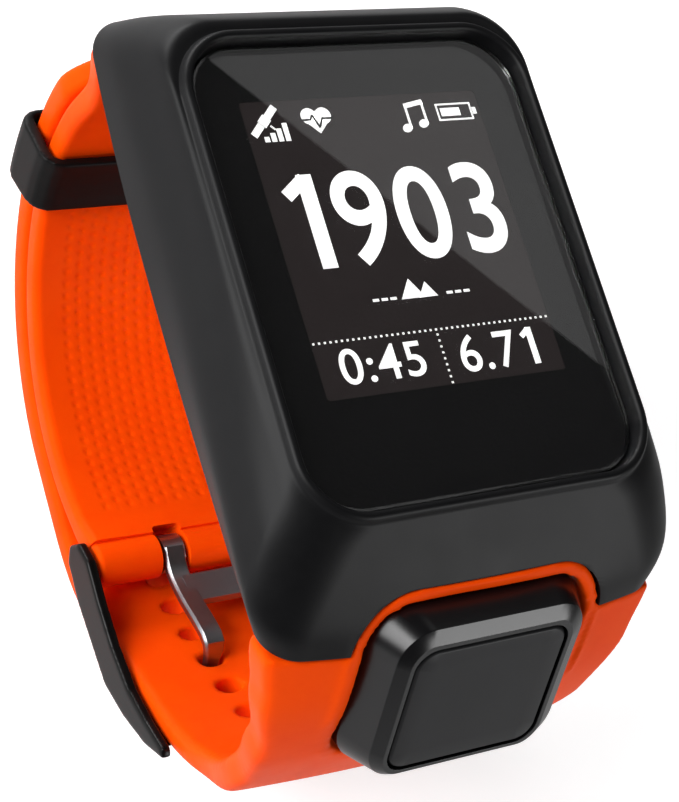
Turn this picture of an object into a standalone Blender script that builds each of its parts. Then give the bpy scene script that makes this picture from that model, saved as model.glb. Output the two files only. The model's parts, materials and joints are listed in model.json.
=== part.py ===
"""GPS running watch: display module in a snap-in frame, closed silicone strap, double-prong
buckle, keeper loop and a four-way rocker button below the display.

Lengths are in metres. The watch is drawn about the centre of its display: +X to 3 o'clock,
+Y to 12 o'clock, +Z out of the display. An empty lifts it so that the lowest strap stretch
stands at Z = 0, with the origin under the middle of the whole watch.
"""

from math import cos, pi, radians, sin

import bmesh
import bpy
from mathutils import Vector

MM = 0.001
GAP = 0.3 * MM                      # clearance between neighbouring pieces

# Height of the display above the resting face, and its place along Y
DISPLAY_HEIGHT = 54.9 * MM
DISPLAY_Y = 4.1 * MM

# Front of the case: glass opening, raised lip and the frame's flared skirt
GLASS_HALF_WIDTH = 15.0 * MM
GLASS_TOP = 16.95 * MM
GLASS_BOTTOM = -21.4 * MM
GLASS_RADIUS = 4.4 * MM
GLASS_SURFACE = 0.3 * MM
GLASS_THICKNESS = 0.9 * MM
LIP_HEIGHT = 1.4 * MM
LEDGE_HEIGHT = -1.3 * MM
CASE_WALL = 1.7 * MM
CASE_HALF_WIDTH = 18.2 * MM

# Display module
MODULE_HALF_WIDTH = 14.4 * MM
MODULE_TOP = 17.7 * MM
MODULE_BOTTOM = -22.7 * MM
MODULE_CEILING = -2.6 * MM
MODULE_FLOOR = -9.3 * MM
COVER_THICKNESS = 1.5 * MM
SENSOR_RADIUS = 6.2 * MM
SCREW_X = 12.1 * MM
SCREW_TOP_Y = 15.4 * MM
SCREW_BOTTOM_Y = -20.4 * MM
CONTACT_Y = -17.5 * MM
CONTACT_PITCH = 3.0 * MM

# Button block: centre of its front face, and how far that face leans forward
BUTTON_CENTRE = Vector((0.0, -34.56 * MM, -9.28 * MM))
BUTTON_TILT = radians(57.1)
BUTTON_NORMAL = Vector((0.0, -sin(BUTTON_TILT), cos(BUTTON_TILT)))
BUTTON_UP = Vector((0.0, cos(BUTTON_TILT), sin(BUTTON_TILT)))
ARCH_HALF_WIDTH = 11.6 * MM
ARCH_TOP = 9.3 * MM
ARCH_FOOT = 4.4 * MM
ARCH_RADIUS = 5.2 * MM
BLOCK_HALF_WIDTH = 10.0 * MM
BLOCK_TOP = 7.85 * MM
BLOCK_BOTTOM = -8.4 * MM
BLOCK_DEPTH = 6.6 * MM
PAD_HALF_WIDTH = 6.95 * MM
PAD_TOP = 5.45 * MM
PAD_BOTTOM = -6.8 * MM
POCKET_FLOOR = -3.4 * MM             # measured out of the button's front face
CARRIER_PLACE = -2.0 * MM

# Wrist loop: the two strap halves lie on each other around one centre
LOOP_Y = 1.9 * MM
LOOP_Z = -26.9 * MM
UPPER_RADIUS = 22.6 * MM            # wrist side of the 12 o'clock half
UPPER_THICKNESS = 2.5 * MM
LOWER_RADIUS = 28.0 * MM            # outer side of the 6 o'clock half
LOWER_THICKNESS = 2.7 * MM
STRAP_HALF_WIDTH = 12.0 * MM
STRAP_EDGE = 0.7 * MM               # rounded strap edge
STATION = 2.5 * MM                  # spacing of the strap's sections

# Buckle: spring bar, knuckle and prongs
BAR_RADIUS = 0.75 * MM
BAR_HOLE_RADIUS = 1.0 * MM
KNUCKLE_RADIUS = 2.1 * MM
KNUCKLE_ANGLE = radians(-120.4)
KNUCKLE_LOOP_RADIUS = 24.2 * MM
PRONG_X = 4.2 * MM
PRONG_WIDTH = 2.1 * MM
PRONG_THICKNESS = 1.1 * MM
ARM_INNER = 12.4 * MM
ARM_OUTER = 13.4 * MM
HOLE_PITCH = 4.0 * MM
HOLE_COUNT = 9

KEEPER_ANGLE = radians(-20.0)
KEEPER_LENGTH = 7.6 * MM
KEEPER_WALL = 0.9 * MM
KEEPER_CLEARANCE = 0.35 * MM

KNUCKLE = Vector((0.0, LOOP_Y + KNUCKLE_LOOP_RADIUS * cos(KNUCKLE_ANGLE),
                  LOOP_Z + KNUCKLE_LOOP_RADIUS * sin(KNUCKLE_ANGLE)))


# ---------------------------------------------------------------- scene and materials

for old in list(bpy.data.objects):
    bpy.data.objects.remove(old, do_unlink=True)


def empty(name, place, parent=None):
    """An empty at a place measured from its parent."""
    holder = bpy.data.objects.new(name, None)
    holder.location = place
    holder.parent = parent
    bpy.context.collection.objects.link(holder)
    return holder


WATCH = empty("watch", (0.0, DISPLAY_Y, DISPLAY_HEIGHT))


def material(name, colour, roughness, metallic=0.0):
    """A plain Principled finish."""
    finish = bpy.data.materials.new(name)
    finish.use_nodes = True
    shader = finish.node_tree.nodes["Principled BSDF"]
    shader.inputs["Base Color"].default_value = (*colour, 1.0)
    shader.inputs["Roughness"].default_value = roughness
    shader.inputs["Metallic"].default_value = metallic
    return finish


BLACK_FRAME = material("black_frame", (0.035, 0.036, 0.038), 0.45)
BLACK_GLOSS = material("black_gloss", (0.012, 0.012, 0.014), 0.15)
BLACK_RUBBER = material("black_rubber", (0.02, 0.02, 0.02), 0.8)
GLASS = material("cover_glass", (0.02, 0.021, 0.024), 0.05)
ORANGE = material("orange_silicone", (1.0, 0.10, 0.005), 0.45)
PAD_GREY = material("pad_grey", (0.05, 0.05, 0.053), 0.5)
BOARD = material("circuit_board", (0.02, 0.12, 0.06), 0.5)
SILVER = material("silver_foil", (0.6, 0.6, 0.62), 0.35, 1.0)
CERAMIC = material("ceramic", (0.75, 0.7, 0.6), 0.5)
STEEL = material("steel", (0.55, 0.56, 0.58), 0.25, 1.0)
GUNMETAL = material("gunmetal", (0.12, 0.12, 0.13), 0.3, 1.0)
GOLD = material("gold_contact", (0.85, 0.62, 0.25), 0.25, 1.0)
WHITE_PLASTIC = material("white_plastic", (0.8, 0.8, 0.8), 0.5)
LED_GREEN = material("led_green", (0.1, 0.7, 0.2), 0.3)


# ---------------------------------------------------------------- mesh helpers

def finish_object(name, mesh_builder, finish, pivot=(0.0, 0.0, 0.0), parent=None):
    """Turns a bmesh into an object whose origin is at pivot, measured from the display."""
    bmesh.ops.recalc_face_normals(mesh_builder, faces=mesh_builder.faces)
    bmesh.ops.translate(mesh_builder, verts=mesh_builder.verts, vec=-Vector(pivot))
    mesh = bpy.data.meshes.new(name)
    mesh_builder.to_mesh(mesh)
    mesh_builder.free()
    mesh.materials.append(finish)
    mesh.shade_smooth()
    mesh.set_sharp_from_angle(angle=radians(32.0))
    piece = bpy.data.objects.new(name, mesh)
    bpy.context.collection.objects.link(piece)
    piece.parent = parent or WATCH
    piece.location = Vector(pivot) if parent is None else Vector()
    return piece


def cutter(name, mesh_builder, pivot=(0.0, 0.0, 0.0), parent=None):
    """A tool shape: seen as wire, never part of the watch."""
    tool = finish_object(name, mesh_builder, BLACK_RUBBER, pivot, parent)
    tool.hide_render = True
    tool.display_type = 'WIRE'
    return tool


def boolean(piece, tool, operation='DIFFERENCE'):
    """Adds an exact Boolean of a tool shape to a piece."""
    step = piece.modifiers.new(tool.name, 'BOOLEAN')
    step.operation = operation
    step.solver = 'EXACT'
    step.object = tool


def loft(rings, closed=False):
    """Skins a list of rings of points; open lofts get caps, closed ones meet end to end."""
    builder = bmesh.new()
    rows = [[builder.verts.new(point) for point in ring] for ring in rings]
    pairs = list(zip(rows, rows[1:]))
    if closed:
        pairs.append((rows[-1], rows[0]))
    for low, high in pairs:
        for index in range(len(low)):
            after = (index + 1) % len(low)
            builder.faces.new((low[index], low[after], high[after], high[index]))
    if not closed:
        builder.faces.new(rows[0])
        builder.faces.new(rows[-1])
    return builder


def merge(builder, other):
    """Adds the faces of one bmesh to another."""
    mesh = bpy.data.meshes.new("merged")
    other.to_mesh(mesh)
    other.free()
    builder.from_mesh(mesh)
    bpy.data.meshes.remove(mesh)
    return builder


def rounded_outline(half_width, bottom, top, radius, corner_steps=6, side_steps=1):
    """A rounded rectangle, counter-clockwise, as (x, y) points."""
    corners = ((half_width - radius, top - radius, 0.0),
               (radius - half_width, top - radius, 0.5 * pi),
               (radius - half_width, bottom + radius, pi),
               (half_width - radius, bottom + radius, 1.5 * pi))
    points = []
    for number, (x, y, start) in enumerate(corners):
        for step in range(corner_steps + 1):
            angle = start + 0.5 * pi * step / corner_steps
            points.append((x + radius * cos(angle), y + radius * sin(angle)))
        next_x, next_y, next_start = corners[(number + 1) % 4]
        end = (next_x + radius * cos(next_start), next_y + radius * sin(next_start))
        begin = points[-1]
        for step in range(1, side_steps):
            part = step / side_steps
            points.append((begin[0] + (end[0] - begin[0]) * part,
                           begin[1] + (end[1] - begin[1]) * part))
    return points


def slab(half_width, bottom, top, radius, low, high, bevel=0.0, corner_steps=5):
    """A rounded plate between two heights, its upper edge eased by a bevel."""
    outline = rounded_outline(half_width, bottom, top, radius, corner_steps)
    rings = [[(x, y, low) for x, y in outline], [(x, y, high - bevel) for x, y in outline]]
    if bevel:
        inner = rounded_outline(half_width - bevel, bottom + bevel, top - bevel,
                                radius - bevel, corner_steps)
        rings.append([(x, y, high) for x, y in inner])
    return loft(rings)


def hoop(outer, inner, low, high, corner_steps=6):
    """A rounded rectangular ring; outer and inner are (half_width, bottom, top, radius)."""
    outside = rounded_outline(*outer, corner_steps)
    inside = rounded_outline(*inner, corner_steps)
    rings = [[(x, y, low) for x, y in outside], [(x, y, high) for x, y in outside],
             [(x, y, high) for x, y in inside], [(x, y, low) for x, y in inside]]
    return loft(rings, closed=True)


def box(low, high):
    """An upright block between two corners."""
    outline = ((low[0], low[1]), (high[0], low[1]), (high[0], high[1]), (low[0], high[1]))
    return loft([[(x, y, low[2]) for x, y in outline], [(x, y, high[2]) for x, y in outline]])


def turned(profile, centre, axis, segments=24):
    """A round piece: profile is (distance along the axis, radius) pairs from a centre."""
    axis = Vector(axis).normalized()
    side = axis.orthogonal().normalized()
    other = axis.cross(side)
    rings = []
    for along, radius in profile:
        ring = []
        for step in range(segments):
            angle = 2.0 * pi * step / segments
            ring.append(Vector(centre) + axis * along
                        + (side * cos(angle) + other * sin(angle)) * radius)
        rings.append(ring)
    return loft(rings)


def rod(centre, axis, radius, half_length, segments=20, bevel=0.0):
    """A cylinder centred on a point, its ends eased by a bevel."""
    profile = [(-half_length, radius - bevel), (half_length, radius - bevel)]
    if bevel:
        profile[1:1] = [(-half_length + bevel, radius), (half_length - bevel, radius)]
    return turned(profile, centre, axis, segments)


def side_prism(outline, left, right):
    """Extrudes an outline of (y, z) points along X."""
    return loft([[(x, y, z) for y, z in outline] for x in (left, right)])


def through(points, step):
    """A smooth curve through (y, z) points, sampled about every step."""
    path = []
    padded = [points[0]] + list(points) + [points[-1]]
    for before, start, end, after in zip(padded, padded[1:], padded[2:], padded[3:]):
        before, start, end, after = (Vector(p) for p in (before, start, end, after))
        count = max(1, round((end - start).length / step))
        for index in range(count):
            t = index / count
            path.append(0.5 * ((2.0 * start) + (end - before) * t
                               + (2.0 * before - 5.0 * start + 4.0 * end - after) * t * t
                               + (3.0 * start - before - 3.0 * end + after) * t ** 3))
    path.append(Vector(points[-1]))
    return path


def lengths_along(path):
    """Distance travelled at each point of a path."""
    travelled = [0.0]
    for start, end in zip(path, path[1:]):
        travelled.append(travelled[-1] + (end - start).length)
    return travelled


def outward_at(path, index):
    """Unit vector to the right of the path's direction in the Y-Z plane."""
    ahead = path[min(index + 1, len(path) - 1)] - path[max(index - 1, 0)]
    return Vector((ahead.y, -ahead.x)).normalized()


def point_at(path, travelled, along):
    """Point and outward direction at a length along a path."""
    index = max(i for i, s in enumerate(travelled[:-1]) if s <= along)
    part = (along - travelled[index]) / (travelled[index + 1] - travelled[index])
    ahead = (path[index + 1] - path[index]).normalized()
    return path[index].lerp(path[index + 1], part), Vector((ahead.y, -ahead.x))


def blend(stops, value):
    """Reads a list of (position, value) stops with smooth steps between them."""
    if value <= stops[0][0]:
        return stops[0][1]
    for (start, low), (end, high) in zip(stops, stops[1:]):
        if value <= end:
            part = (value - start) / (end - start)
            return low + (high - low) * part * part * (3.0 - 2.0 * part)
    return stops[-1][1]


def band_section(half_width, thickness, crown, edge=STRAP_EDGE, columns=6):
    """A strap's section as (x, distance towards the wrist) points; 0 is its outer side."""
    flat = half_width - edge
    across = [-flat + 2.0 * flat * column / columns for column in range(columns + 1)]
    sag = [crown * (x / half_width) ** 2 for x in across]
    outer = list(zip(across, sag))
    inner = [(x, thickness + s) for x, s in zip(reversed(across), reversed(sag))]
    right = [(half_width, crown + edge), (half_width, crown + thickness - edge)]
    left = [(-x, depth) for x, depth in reversed(right)]
    return outer + right + inner + left


def band(path, half_width_at, thickness_at, crown_at):
    """Sweeps a strap section along its outer path; each size is a function of length.

    The wrist is on the left of the path.
    """
    travelled = lengths_along(path)
    rings = []
    for index, (point, along) in enumerate(zip(path, travelled)):
        outward = outward_at(path, index)
        section = band_section(half_width_at(along), thickness_at(along), crown_at(along))
        rings.append([(x, point.x - outward.x * depth, point.y - outward.y * depth)
                      for x, depth in section])
    return loft(rings)


def loop_point(radius, angle):
    """A point of the wrist loop's circles as (y, z)."""
    return (LOOP_Y + radius * cos(angle), LOOP_Z + radius * sin(angle))


def on_button(x, up, out):
    """A point given in the button block's own directions."""
    return BUTTON_CENTRE + Vector((x, 0.0, 0.0)) + BUTTON_UP * up + BUTTON_NORMAL * out


def button_slab(half_width, bottom, top, radius, low, high, corner_steps=5):
    """A rounded plate lying in the button's plane."""
    outline = rounded_outline(half_width, bottom, top, radius, corner_steps)
    return loft([[on_button(x, up, out) for x, up in outline] for out in (low, high)])


def front_slope(x, up):
    """How far the case's lower front lies behind the button's face, at a place on it."""
    across = abs(x) / MM
    return -(1.3 + 0.27 * (up / MM - 4.4) + 0.0045 * across ** 2 + 7.5e-6 * across ** 4) * MM


# ---------------------------------------------------------------- case frame

def case_ring(half_width, bottom, top, radius, height_top, height_side, height_bottom,
              bow=0.0, drop=0.0, flare=0.0):
    """One level of the case: a rounded outline whose height follows its place along Y.

    bow pulls the lower corners up along Y and drop lowers them, so the lower end is crowned.
    flare is the share by which the sides spread towards the lower end.
    """
    middle = 3.0 * MM
    ring = []
    for x, y in rounded_outline(half_width, bottom, top, radius, 6, 8):
        if y > middle:
            part = (y - middle) / (top - middle)
            height = height_side + (height_top - height_side) * part * part
        else:
            part = (middle - y) / (middle - bottom)
            height = height_side + (height_bottom - height_side) * part * part
            side = (x / half_width) ** 2 * part ** 3
            x *= 1.0 + flare * min(part, 0.8)
            y += bow * side
            height -= drop * side
        ring.append((x, y, height))
    return ring


def make_case_frame():
    lip = 0.7 * MM
    pocket = 0.25 * MM
    rings = [
        # glass pocket, from the ledge up to the lip
        case_ring(13.3 * MM, -19.7 * MM, 15.3 * MM, 3.2 * MM, LEDGE_HEIGHT, LEDGE_HEIGHT,
                  LEDGE_HEIGHT),
        case_ring(GLASS_HALF_WIDTH + pocket, GLASS_BOTTOM - pocket, GLASS_TOP + pocket,
                  GLASS_RADIUS + pocket, LEDGE_HEIGHT, LEDGE_HEIGHT, LEDGE_HEIGHT),
        case_ring(GLASS_HALF_WIDTH + pocket, GLASS_BOTTOM - pocket, GLASS_TOP + pocket,
                  GLASS_RADIUS + pocket, 1.0 * MM, 1.0 * MM, 0.9 * MM),
        case_ring(GLASS_HALF_WIDTH + 0.45 * MM, GLASS_BOTTOM - 0.45 * MM, GLASS_TOP + 0.5 * MM,
                  GLASS_RADIUS + 0.4 * MM, LIP_HEIGHT, LIP_HEIGHT, 1.25 * MM),
        # raised lip, shoulder, skirt and back edge
        case_ring(GLASS_HALF_WIDTH + lip, GLASS_BOTTOM - lip, GLASS_TOP + 0.9 * MM,
                  GLASS_RADIUS + 0.6 * MM, 1.3 * MM, LIP_HEIGHT, 1.1 * MM),
        case_ring(16.4 * MM, -23.3 * MM, 19.3 * MM, 4.8 * MM, 0.7 * MM, 0.3 * MM, 0.1 * MM),
        case_ring(17.3 * MM, -26.3 * MM, 21.0 * MM, 4.6 * MM, -1.7 * MM, -2.2 * MM, -2.2 * MM,
                  0.4 * MM, 0.4 * MM, 0.085),
        case_ring(18.0 * MM, -29.1 * MM, 22.6 * MM, 4.0 * MM, -4.6 * MM, -5.4 * MM, -4.5 * MM,
                  0.8 * MM, 0.8 * MM, 0.10),
        case_ring(CASE_HALF_WIDTH, -31.1 * MM, 23.7 * MM, 3.0 * MM, -7.2 * MM, -9.0 * MM,
                  -6.3 * MM, 1.6 * MM, 1.1 * MM, 0.015),
        # the same levels again on the inside, one wall in
        case_ring(CASE_HALF_WIDTH - CASE_WALL, -31.1 * MM + 1.5 * MM, 23.7 * MM - CASE_WALL,
                  2.2 * MM, -7.4 * MM, -9.2 * MM, -7.3 * MM, 1.5 * MM, 0.9 * MM),
        case_ring(16.2 * MM, -27.1 * MM, 21.0 * MM, 2.2 * MM, -4.8 * MM, -5.4 * MM, -5.3 * MM,
                  0.9 * MM, 0.6 * MM),
        case_ring(14.9 * MM, -23.4 * MM, 18.3 * MM, 4.0 * MM, -2.3 * MM, -2.3 * MM, -2.3 * MM),
        case_ring(13.3 * MM, -19.7 * MM, 15.3 * MM, 3.2 * MM, -2.3 * MM, -2.3 * MM, -2.3 * MM),
    ]
    case = finish_object("case_frame", loft(rings, closed=True), BLACK_FRAME)
    arch = button_slab(ARCH_HALF_WIDTH, -14.0 * MM, ARCH_TOP, ARCH_RADIUS, -9.0 * MM, 6.0 * MM, 8)
    boolean(case, cutter("arch_cutter", arch))
    return case


# ---------------------------------------------------------------- display and module

def make_front():
    top = GLASS_SURFACE
    glass = slab(GLASS_HALF_WIDTH, GLASS_BOTTOM, GLASS_TOP, GLASS_RADIUS,
                 top - GLASS_THICKNESS, top, 0.2 * MM, 7)
    finish_object("front_glass", glass, GLASS)
    seal = hoop((14.8 * MM, -21.2 * MM, 16.7 * MM, 4.2 * MM), (13.7 * MM, -20.1 * MM, 15.7 * MM,
                3.4 * MM), LEDGE_HEIGHT + 0.12 * MM, top - GLASS_THICKNESS - 0.12 * MM)
    finish_object("glass_seal", seal, BLACK_RUBBER)
    panel = slab(12.6 * MM, -18.6 * MM, 14.2 * MM, 0.8 * MM, -2.0 * MM, -0.8 * MM, 0.1 * MM)
    finish_object("display_panel", panel, BLACK_GLOSS)
    holder = slab(12.8 * MM, -18.9 * MM, 14.6 * MM, 6.5 * MM, -3.2 * MM, -2.3 * MM, 0.1 * MM)
    finish_object("display_holder", holder, WHITE_PLASTIC)


def screw_places():
    """The four cover screws sit in the housing's thick corners."""
    return [(side * SCREW_X, y) for y in (SCREW_TOP_Y, SCREW_BOTTOM_Y) for side in (-1, 1)]


def make_housing():
    shell = hoop((MODULE_HALF_WIDTH, MODULE_BOTTOM, MODULE_TOP, 3.8 * MM),
                 (13.4 * MM, MODULE_BOTTOM + 1.0 * MM, MODULE_TOP - 1.0 * MM, 7.6 * MM),
                 MODULE_FLOOR, MODULE_CEILING, 8)
    housing = finish_object("module_housing", shell, BLACK_FRAME)
    bores = bmesh.new()
    for x, y in screw_places():
        merge(bores, rod((x, y, MODULE_FLOOR), (0, 0, 1), 0.7 * MM, 2.6 * MM, 12))
    boolean(housing, cutter("housing_bores", bores))
    seal = hoop((13.9 * MM, MODULE_BOTTOM + 0.5 * MM, MODULE_TOP - 0.5 * MM, 3.4 * MM),
                (13.55 * MM, MODULE_BOTTOM + 0.85 * MM, MODULE_TOP - 0.85 * MM, 3.1 * MM),
                MODULE_FLOOR - 0.42 * MM, MODULE_FLOOR - 0.1 * MM)
    finish_object("rear_seal", seal, BLACK_RUBBER)


def make_rear_cover():
    top = MODULE_FLOOR - 0.55 * MM
    low = top - COVER_THICKNESS
    outline = rounded_outline(MODULE_HALF_WIDTH, MODULE_BOTTOM, MODULE_TOP, 3.8 * MM, 6)
    eased = rounded_outline(MODULE_HALF_WIDTH - 0.8 * MM, MODULE_BOTTOM + 0.8 * MM,
                            MODULE_TOP - 0.8 * MM, 3.0 * MM, 6)
    cover = finish_object("rear_cover", loft([[(x, y, top) for x, y in outline],
                                              [(x, y, low + 0.5 * MM) for x, y in outline],
                                              [(x, y, low) for x, y in eased]]), BLACK_FRAME)
    cuts = turned([(-4.0 * MM, SENSOR_RADIUS + 0.15 * MM), (4.0 * MM, SENSOR_RADIUS + 0.15 * MM)],
                  (0.0, 0.0, top), (0, 0, 1), 32)
    for x, y in screw_places():
        merge(cuts, turned([(-4.0 * MM, 1.25 * MM), (-0.75 * MM, 1.25 * MM), (-0.75 * MM, 0.75 * MM),
                            (2.0 * MM, 0.75 * MM)], (x, y, top), (0, 0, 1), 16))
    for x in contact_places():
        merge(cuts, rod((x, CONTACT_Y, top), (0, 0, 1), 1.0 * MM, 4.0 * MM, 16))
    boolean(cover, cutter("cover_cuts", cuts))
    window = turned([(0.0, 5.2 * MM), (-0.3 * MM, SENSOR_RADIUS), (-1.6 * MM, SENSOR_RADIUS),
                     (-2.1 * MM, 5.6 * MM), (-2.45 * MM, 4.0 * MM), (-2.6 * MM, 1.8 * MM)],
                    (0.0, 0.0, top), (0, 0, 1), 32)
    finish_object("sensor_window", window, BLACK_GLOSS)
    for number, (x, y) in enumerate(screw_places(), start=1):
        screw = turned([(-1.35 * MM, 0.9 * MM), (-1.25 * MM, 1.1 * MM), (-0.9 * MM, 1.1 * MM),
                        (-0.9 * MM, 0.55 * MM), (1.9 * MM, 0.55 * MM)], (x, y, top), (0, 0, 1), 16)
        finish_object(f"rear_screw_{number}", screw, STEEL)
    for number, x in enumerate(contact_places(), start=1):
        pin = turned([(-1.65 * MM, 0.7 * MM), (-1.55 * MM, 0.85 * MM), (0.3 * MM, 0.85 * MM)],
                     (x, CONTACT_Y, top), (0, 0, 1), 16)
        finish_object(f"charging_contact_{number}", pin, GOLD)


def contact_places():
    """Four charging contacts in a row across the cover."""
    return [(number - 1.5) * CONTACT_PITCH for number in range(4)]


def make_inner_parts():
    board = slab(12.9 * MM, -21.0 * MM, 16.0 * MM, 6.8 * MM, -4.6 * MM, -3.7 * MM)
    finish_object("main_board", board, BOARD)
    cell = slab(10.0 * MM, -4.0 * MM, 14.5 * MM, 1.2 * MM, -8.0 * MM, -4.9 * MM, 0.3 * MM)
    finish_object("battery", cell, SILVER)
    antenna = slab(5.0 * MM, -15.5 * MM, -5.5 * MM, 0.4 * MM, -7.4 * MM, -4.9 * MM, 0.2 * MM, 3)
    finish_object("gps_antenna", antenna, CERAMIC)
    motor = rod((9.0 * MM, -11.5 * MM, -7.0 * MM), (0, 1, 0), 1.8 * MM, 4.5 * MM, 20, 0.2 * MM)
    finish_object("vibration_motor", motor, STEEL)
    sensors = slab(5.0 * MM, -4.8 * MM, 4.8 * MM, 1.0 * MM, -8.9 * MM, -8.3 * MM)
    finish_object("sensor_board", sensors, BOARD)
    for name, x in (("sensor_led_left", -3.0 * MM), ("sensor_led_right", 3.0 * MM)):
        light = slab(0.8 * MM, -0.8 * MM, 0.8 * MM, 0.15 * MM, -9.55 * MM, -9.05 * MM, 0.0, 2)
        bmesh.ops.translate(light, verts=light.verts, vec=(x, 0.0, 0.0))
        finish_object(name, light, LED_GREEN)
    diode = slab(1.1 * MM, -1.1 * MM, 1.1 * MM, 0.15 * MM, -9.55 * MM, -9.05 * MM, 0.0, 2)
    finish_object("photodiode", diode, BLACK_GLOSS)


# ---------------------------------------------------------------- four-way button

def make_button_frame():
    levels = (
        # half width, bottom, top, radius, height out of the button plane
        (9.6 * MM, -8.1 * MM, 7.5 * MM, 3.6 * MM, -BLOCK_DEPTH),
        (BLOCK_HALF_WIDTH, BLOCK_BOTTOM, BLOCK_TOP, 3.9 * MM, -BLOCK_DEPTH + 0.6 * MM),
        (BLOCK_HALF_WIDTH, BLOCK_BOTTOM, BLOCK_TOP, 3.9 * MM, -2.6 * MM),
        (9.5 * MM, -8.1 * MM, 7.75 * MM, 3.5 * MM, -1.1 * MM),
        (8.6 * MM, -7.75 * MM, 7.5 * MM, 3.0 * MM, -0.25 * MM),
        (7.5 * MM, -7.3 * MM, 6.1 * MM, 2.0 * MM, 0.2 * MM),
    )
    rings = []
    for half_width, bottom, top, radius, out in levels:
        outline = rounded_outline(half_width, bottom, top, radius, 5)
        rings.append([on_button(x, up, out) for x, up in outline])
    block = finish_object("button_frame", loft(rings), BLACK_GLOSS)
    neck = side_prism(((-29.5 * MM, -8.0 * MM), (-26.6 * MM, -5.9 * MM), (-23.1 * MM, -4.9 * MM),
                       (-23.1 * MM, -8.6 * MM), (-26.5 * MM, -9.6 * MM)), -5.5 * MM, 5.5 * MM)
    boolean(block, cutter("button_neck", neck), 'UNION')
    pocket = button_slab(PAD_HALF_WIDTH + GAP, PAD_BOTTOM - GAP, PAD_TOP + GAP, 1.9 * MM,
                         POCKET_FLOOR, 3.0 * MM)
    boolean(block, cutter("pad_pocket", pocket))
    return block


def make_button_parts():
    board_top = POCKET_FLOOR + 0.5 * MM
    board = button_slab(6.4 * MM, -6.2 * MM, 4.9 * MM, 1.2 * MM, POCKET_FLOOR + 0.1 * MM,
                        board_top)
    finish_object("button_board", board, BOARD)
    middle = 0.5 * (PAD_TOP + PAD_BOTTOM)
    spots = (("up", 0.0, PAD_TOP - 1.6 * MM), ("down", 0.0, PAD_BOTTOM + 1.6 * MM),
             ("left", -5.0 * MM, middle), ("right", 5.0 * MM, middle))
    for name, x, up in spots:
        dome = turned([(0.0, 1.1 * MM), (0.3 * MM, 1.1 * MM), (0.55 * MM, 0.7 * MM)],
                      on_button(x, up, board_top + 0.12 * MM), BUTTON_NORMAL, 16)
        finish_object(f"button_switch_{name}", dome, STEEL)
    pivot = on_button(0.0, middle, CARRIER_PLACE)
    tilt_holder = empty("button_pitch_axis", pivot, WATCH)
    rock_holder = empty("button_roll_axis", pivot, WATCH)
    carrier = turned([(-0.7 * MM, 1.5 * MM), (-0.3 * MM, 2.2 * MM), (0.15 * MM, 2.2 * MM)],
                     pivot, BUTTON_NORMAL, 24)
    finish_object("button_carrier", carrier, WHITE_PLASTIC, pivot, tilt_holder)
    rings = []
    for inset, radius, out in ((0.35, 1.5, -1.55), (0.0, 1.7, -1.2), (0.0, 1.7, 0.0),
                               (0.25, 1.5, 0.22), (2.0, 1.2, 0.34)):
        outline = rounded_outline(PAD_HALF_WIDTH - inset * MM, PAD_BOTTOM + inset * MM,
                                  PAD_TOP - inset * MM, radius * MM, 5)
        rings.append([on_button(x, up, out * MM) for x, up in outline])
    finish_object("button_pad", loft(rings), PAD_GREY, pivot, rock_holder)


# ---------------------------------------------------------------- strap

def make_strap_upper():
    """The 12 o'clock half: tucked under the case, then around the loop to its knuckle."""
    outer = UPPER_RADIUS + UPPER_THICKNESS
    start = [(20.3 * MM, -5.2 * MM), (21.9 * MM, -8.4 * MM), (24.6 * MM, -11.6 * MM),
             (26.4 * MM, -16.0 * MM)]
    arc = [loop_point(outer, radians(angle)) for angle in range(10, -119, -12)]
    arc.append(loop_point(outer, KNUCKLE_ANGLE + radians(3.0)))
    path = through(list(reversed(start + arc)), STATION)
    case = lengths_along(path)[-1]
    half_widths = ((case - 20.0 * MM, STRAP_HALF_WIDTH), (case - 9.0 * MM, 14.6 * MM),
                   (case - 4.0 * MM, 15.8 * MM), (case, 14.4 * MM))
    thicknesses = ((case - 18.0 * MM, UPPER_THICKNESS), (case - 12.0 * MM, 2.9 * MM),
                   (case - 5.0 * MM, 3.2 * MM), (case, 2.1 * MM))
    strap_band = band(path, lambda s: blend(half_widths, s), lambda s: blend(thicknesses, s),
                      lambda s: 0.2 * MM)
    strap = finish_object("strap_upper", strap_band, ORANGE)
    knuckle = rod(KNUCKLE, (1, 0, 0), KNUCKLE_RADIUS, STRAP_HALF_WIDTH, 28, 0.4 * MM)
    boolean(strap, cutter("knuckle", knuckle), 'UNION')
    cuts = rod(KNUCKLE, (1, 0, 0), BAR_HOLE_RADIUS, 16.0 * MM, 20)
    boolean(strap, cutter("bar_bore", cuts))
    slots = bmesh.new()
    for side in (-1, 1):
        centre = side * PRONG_X
        half = 0.5 * PRONG_WIDTH + 0.4 * MM
        merge(slots, box((centre - half, KNUCKLE.y - 4.0 * MM, KNUCKLE.z - 3.5 * MM),
                         (centre + half, KNUCKLE.y + 2.4 * MM, KNUCKLE.z + 3.5 * MM)))
    boolean(strap, cutter("prong_slots", slots))


def lower_path():
    """Outer side of the 6 o'clock half, from the case round to the free tail."""
    start = on_button(0.0, ARCH_FOOT - GAP, front_slope(0.0, ARCH_FOOT))
    bends = [(start.y, start.z), (-34.0 * MM, -11.2 * MM), (-35.9 * MM, -17.0 * MM),
             (-36.5 * MM, -23.0 * MM), (-35.8 * MM, -29.5 * MM), (-33.2 * MM, -36.6 * MM),
             (-28.9 * MM, -42.0 * MM), (-22.0 * MM, -47.2 * MM), (-16.5 * MM, -51.3 * MM),
             (-11.4 * MM, -54.0 * MM), (-5.7 * MM, -54.9 * MM)]
    arc = [loop_point(LOWER_RADIUS, radians(angle)) for angle in range(-90, 11, 10)]
    arc.append((29.7 * MM, -18.8 * MM))
    return [Vector((p.x, max(p.y, -DISPLAY_HEIGHT))) for p in through(bends + arc, STATION)]


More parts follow.
